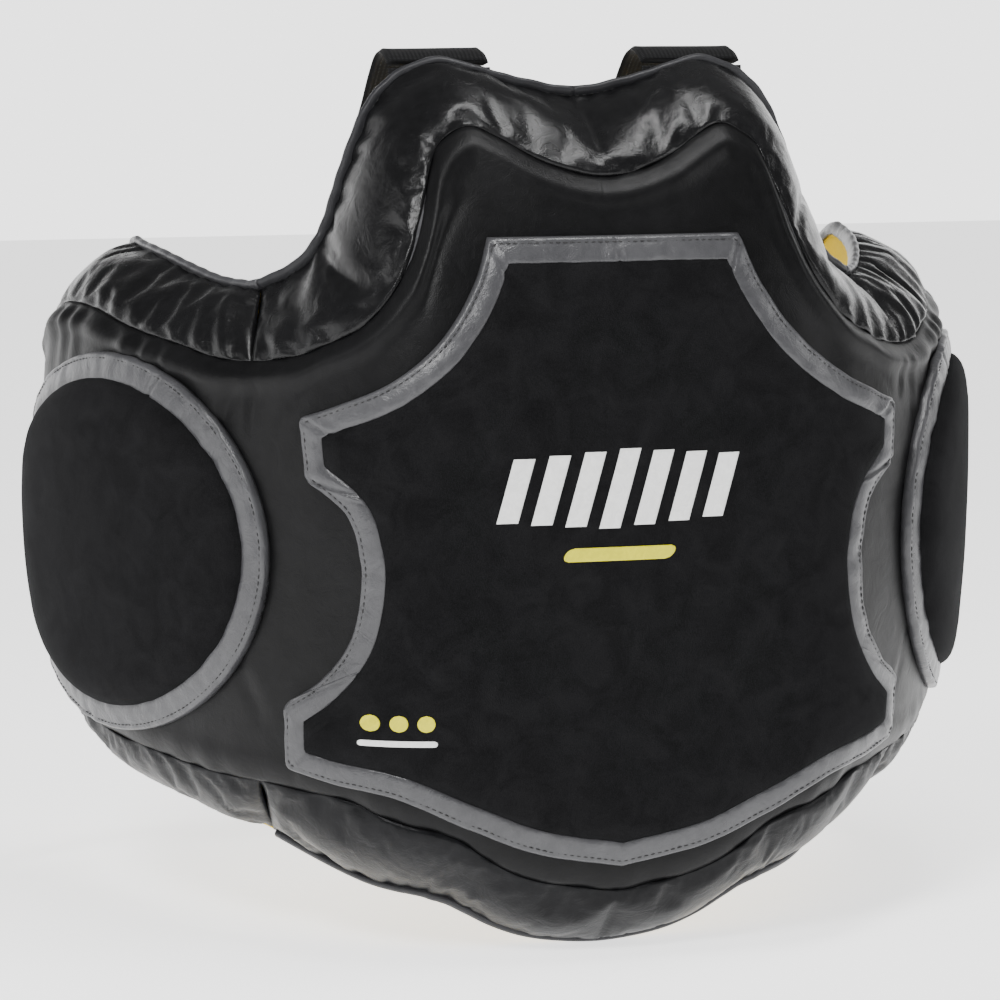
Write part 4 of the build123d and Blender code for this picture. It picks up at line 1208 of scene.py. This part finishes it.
def make_camera():
    turn, rise, roll = (radians(CAMERA[k]) for k in ("turn", "rise", "roll"))
    target = np.array(CAMERA["target"])
    spot = target + CAMERA["distance"] * np.array([-sin(turn) * cos(rise), -cos(turn) * cos(rise), sin(rise)])
    look = (target - spot) / np.linalg.norm(target - spot)
    right = np.cross(look, [0, 0, 1])
    right /= np.linalg.norm(right)
    up = np.cross(right, look)
    right, up = right * cos(roll) + up * sin(roll), up * cos(roll) - right * sin(roll)
    data = bpy.data.cameras.new("camera")
    data.lens = CAMERA["lens"]
    data.sensor_width = 36.0
    data.clip_end = 50.0
    camera = bpy.data.objects.new("camera", data)
    bpy.context.scene.collection.objects.link(camera)
    camera.matrix_world = Matrix([[*axis] for axis in np.column_stack(
        [right, up, -look, spot * MM])] + [[0, 0, 0, 1]])
    bpy.context.scene.camera = camera


def area_light(name, place, aim, size, power):
    data = bpy.data.lights.new(name, "AREA")
    data.shape = "RECTANGLE"
    data.size, data.size_y = size
    data.energy = power
    light = bpy.data.objects.new(name, data)
    bpy.context.scene.collection.objects.link(light)
    light.location = place
    light.rotation_euler = (Vector(aim) - Vector(place)).to_track_quat("-Z", "Y").to_euler()


def make_stage():
    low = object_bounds()[0][2]
    mesh = bpy.data.meshes.new("floor")
    mesh.from_pydata([(-8, -8, low), (8, -8, low), (8, 8, low), (-8, 8, low)], [], [(0, 1, 2, 3)])
    floor = bpy.data.objects.new("floor", mesh)
    bpy.context.scene.collection.objects.link(floor)
    material, tree, bsdf, coords = shader("floor", 0.9, specular=0.1)
    bsdf.inputs["Base Color"].default_value = (0.9, 0.9, 0.9, 1)
    bsdf.inputs["Emission Color"].default_value = (1, 1, 1, 1)
    bsdf.inputs["Emission Strength"].default_value = 1.7
    mesh.materials.append(material)
    make_world()
    area_light("key", (-1.2, -1.6, 1.7), (0, -0.1, 0.1), (0.6, 0.6), 48)
    area_light("top", (0.2, -0.35, 1.8), (0, -0.1, 0.1), (1.1, 0.3), 24)
    area_light("side", (-2.0, -0.2, 0.5), (-0.2, 0, 0), (0.5, 1.2), 9)
    area_light("fill", (1.9, -1.2, 0.8), (0.1, -0.1, 0), (0.6, 1.0), 12)


BACKDROP_LIGHT, ROOM_LIGHT = 2.6, 0.16


def make_world():
    """White backdrop low behind the piece, dim room above and in front."""
    world = bpy.data.worlds.new("studio")
    bpy.context.scene.world = world
    world.use_nodes = True
    tree = world.node_tree
    coords = tree.nodes.new("ShaderNodeTexCoord")
    parts = tree.nodes.new("ShaderNodeSeparateXYZ")
    tree.links.new(coords.outputs["Generated"], parts.inputs[0])
    shares = []
    for axis, start, end, low, high in (("Y", 0.2, 0.8, 0.0, 1.0), ("Z", 0.12, 0.5, 1.0, 0.0)):
        share = tree.nodes.new("ShaderNodeMapRange")
        share.interpolation_type = "SMOOTHSTEP"
        for socket, value in (("From Min", start), ("From Max", end), ("To Min", low), ("To Max", high)):
            share.inputs[socket].default_value = value
        tree.links.new(parts.outputs[axis], share.inputs["Value"])
        shares.append(share.outputs["Result"])
    backdrop = math_node(tree, "MULTIPLY", *shares)
    strength = math_node(tree, "MULTIPLY_ADD", backdrop, BACKDROP_LIGHT, ROOM_LIGHT)
    background = tree.nodes["Background"]
    background.inputs["Color"].default_value = (1, 1, 1, 1)
    tree.links.new(strength, background.inputs["Strength"])


make_camera()
make_stage()
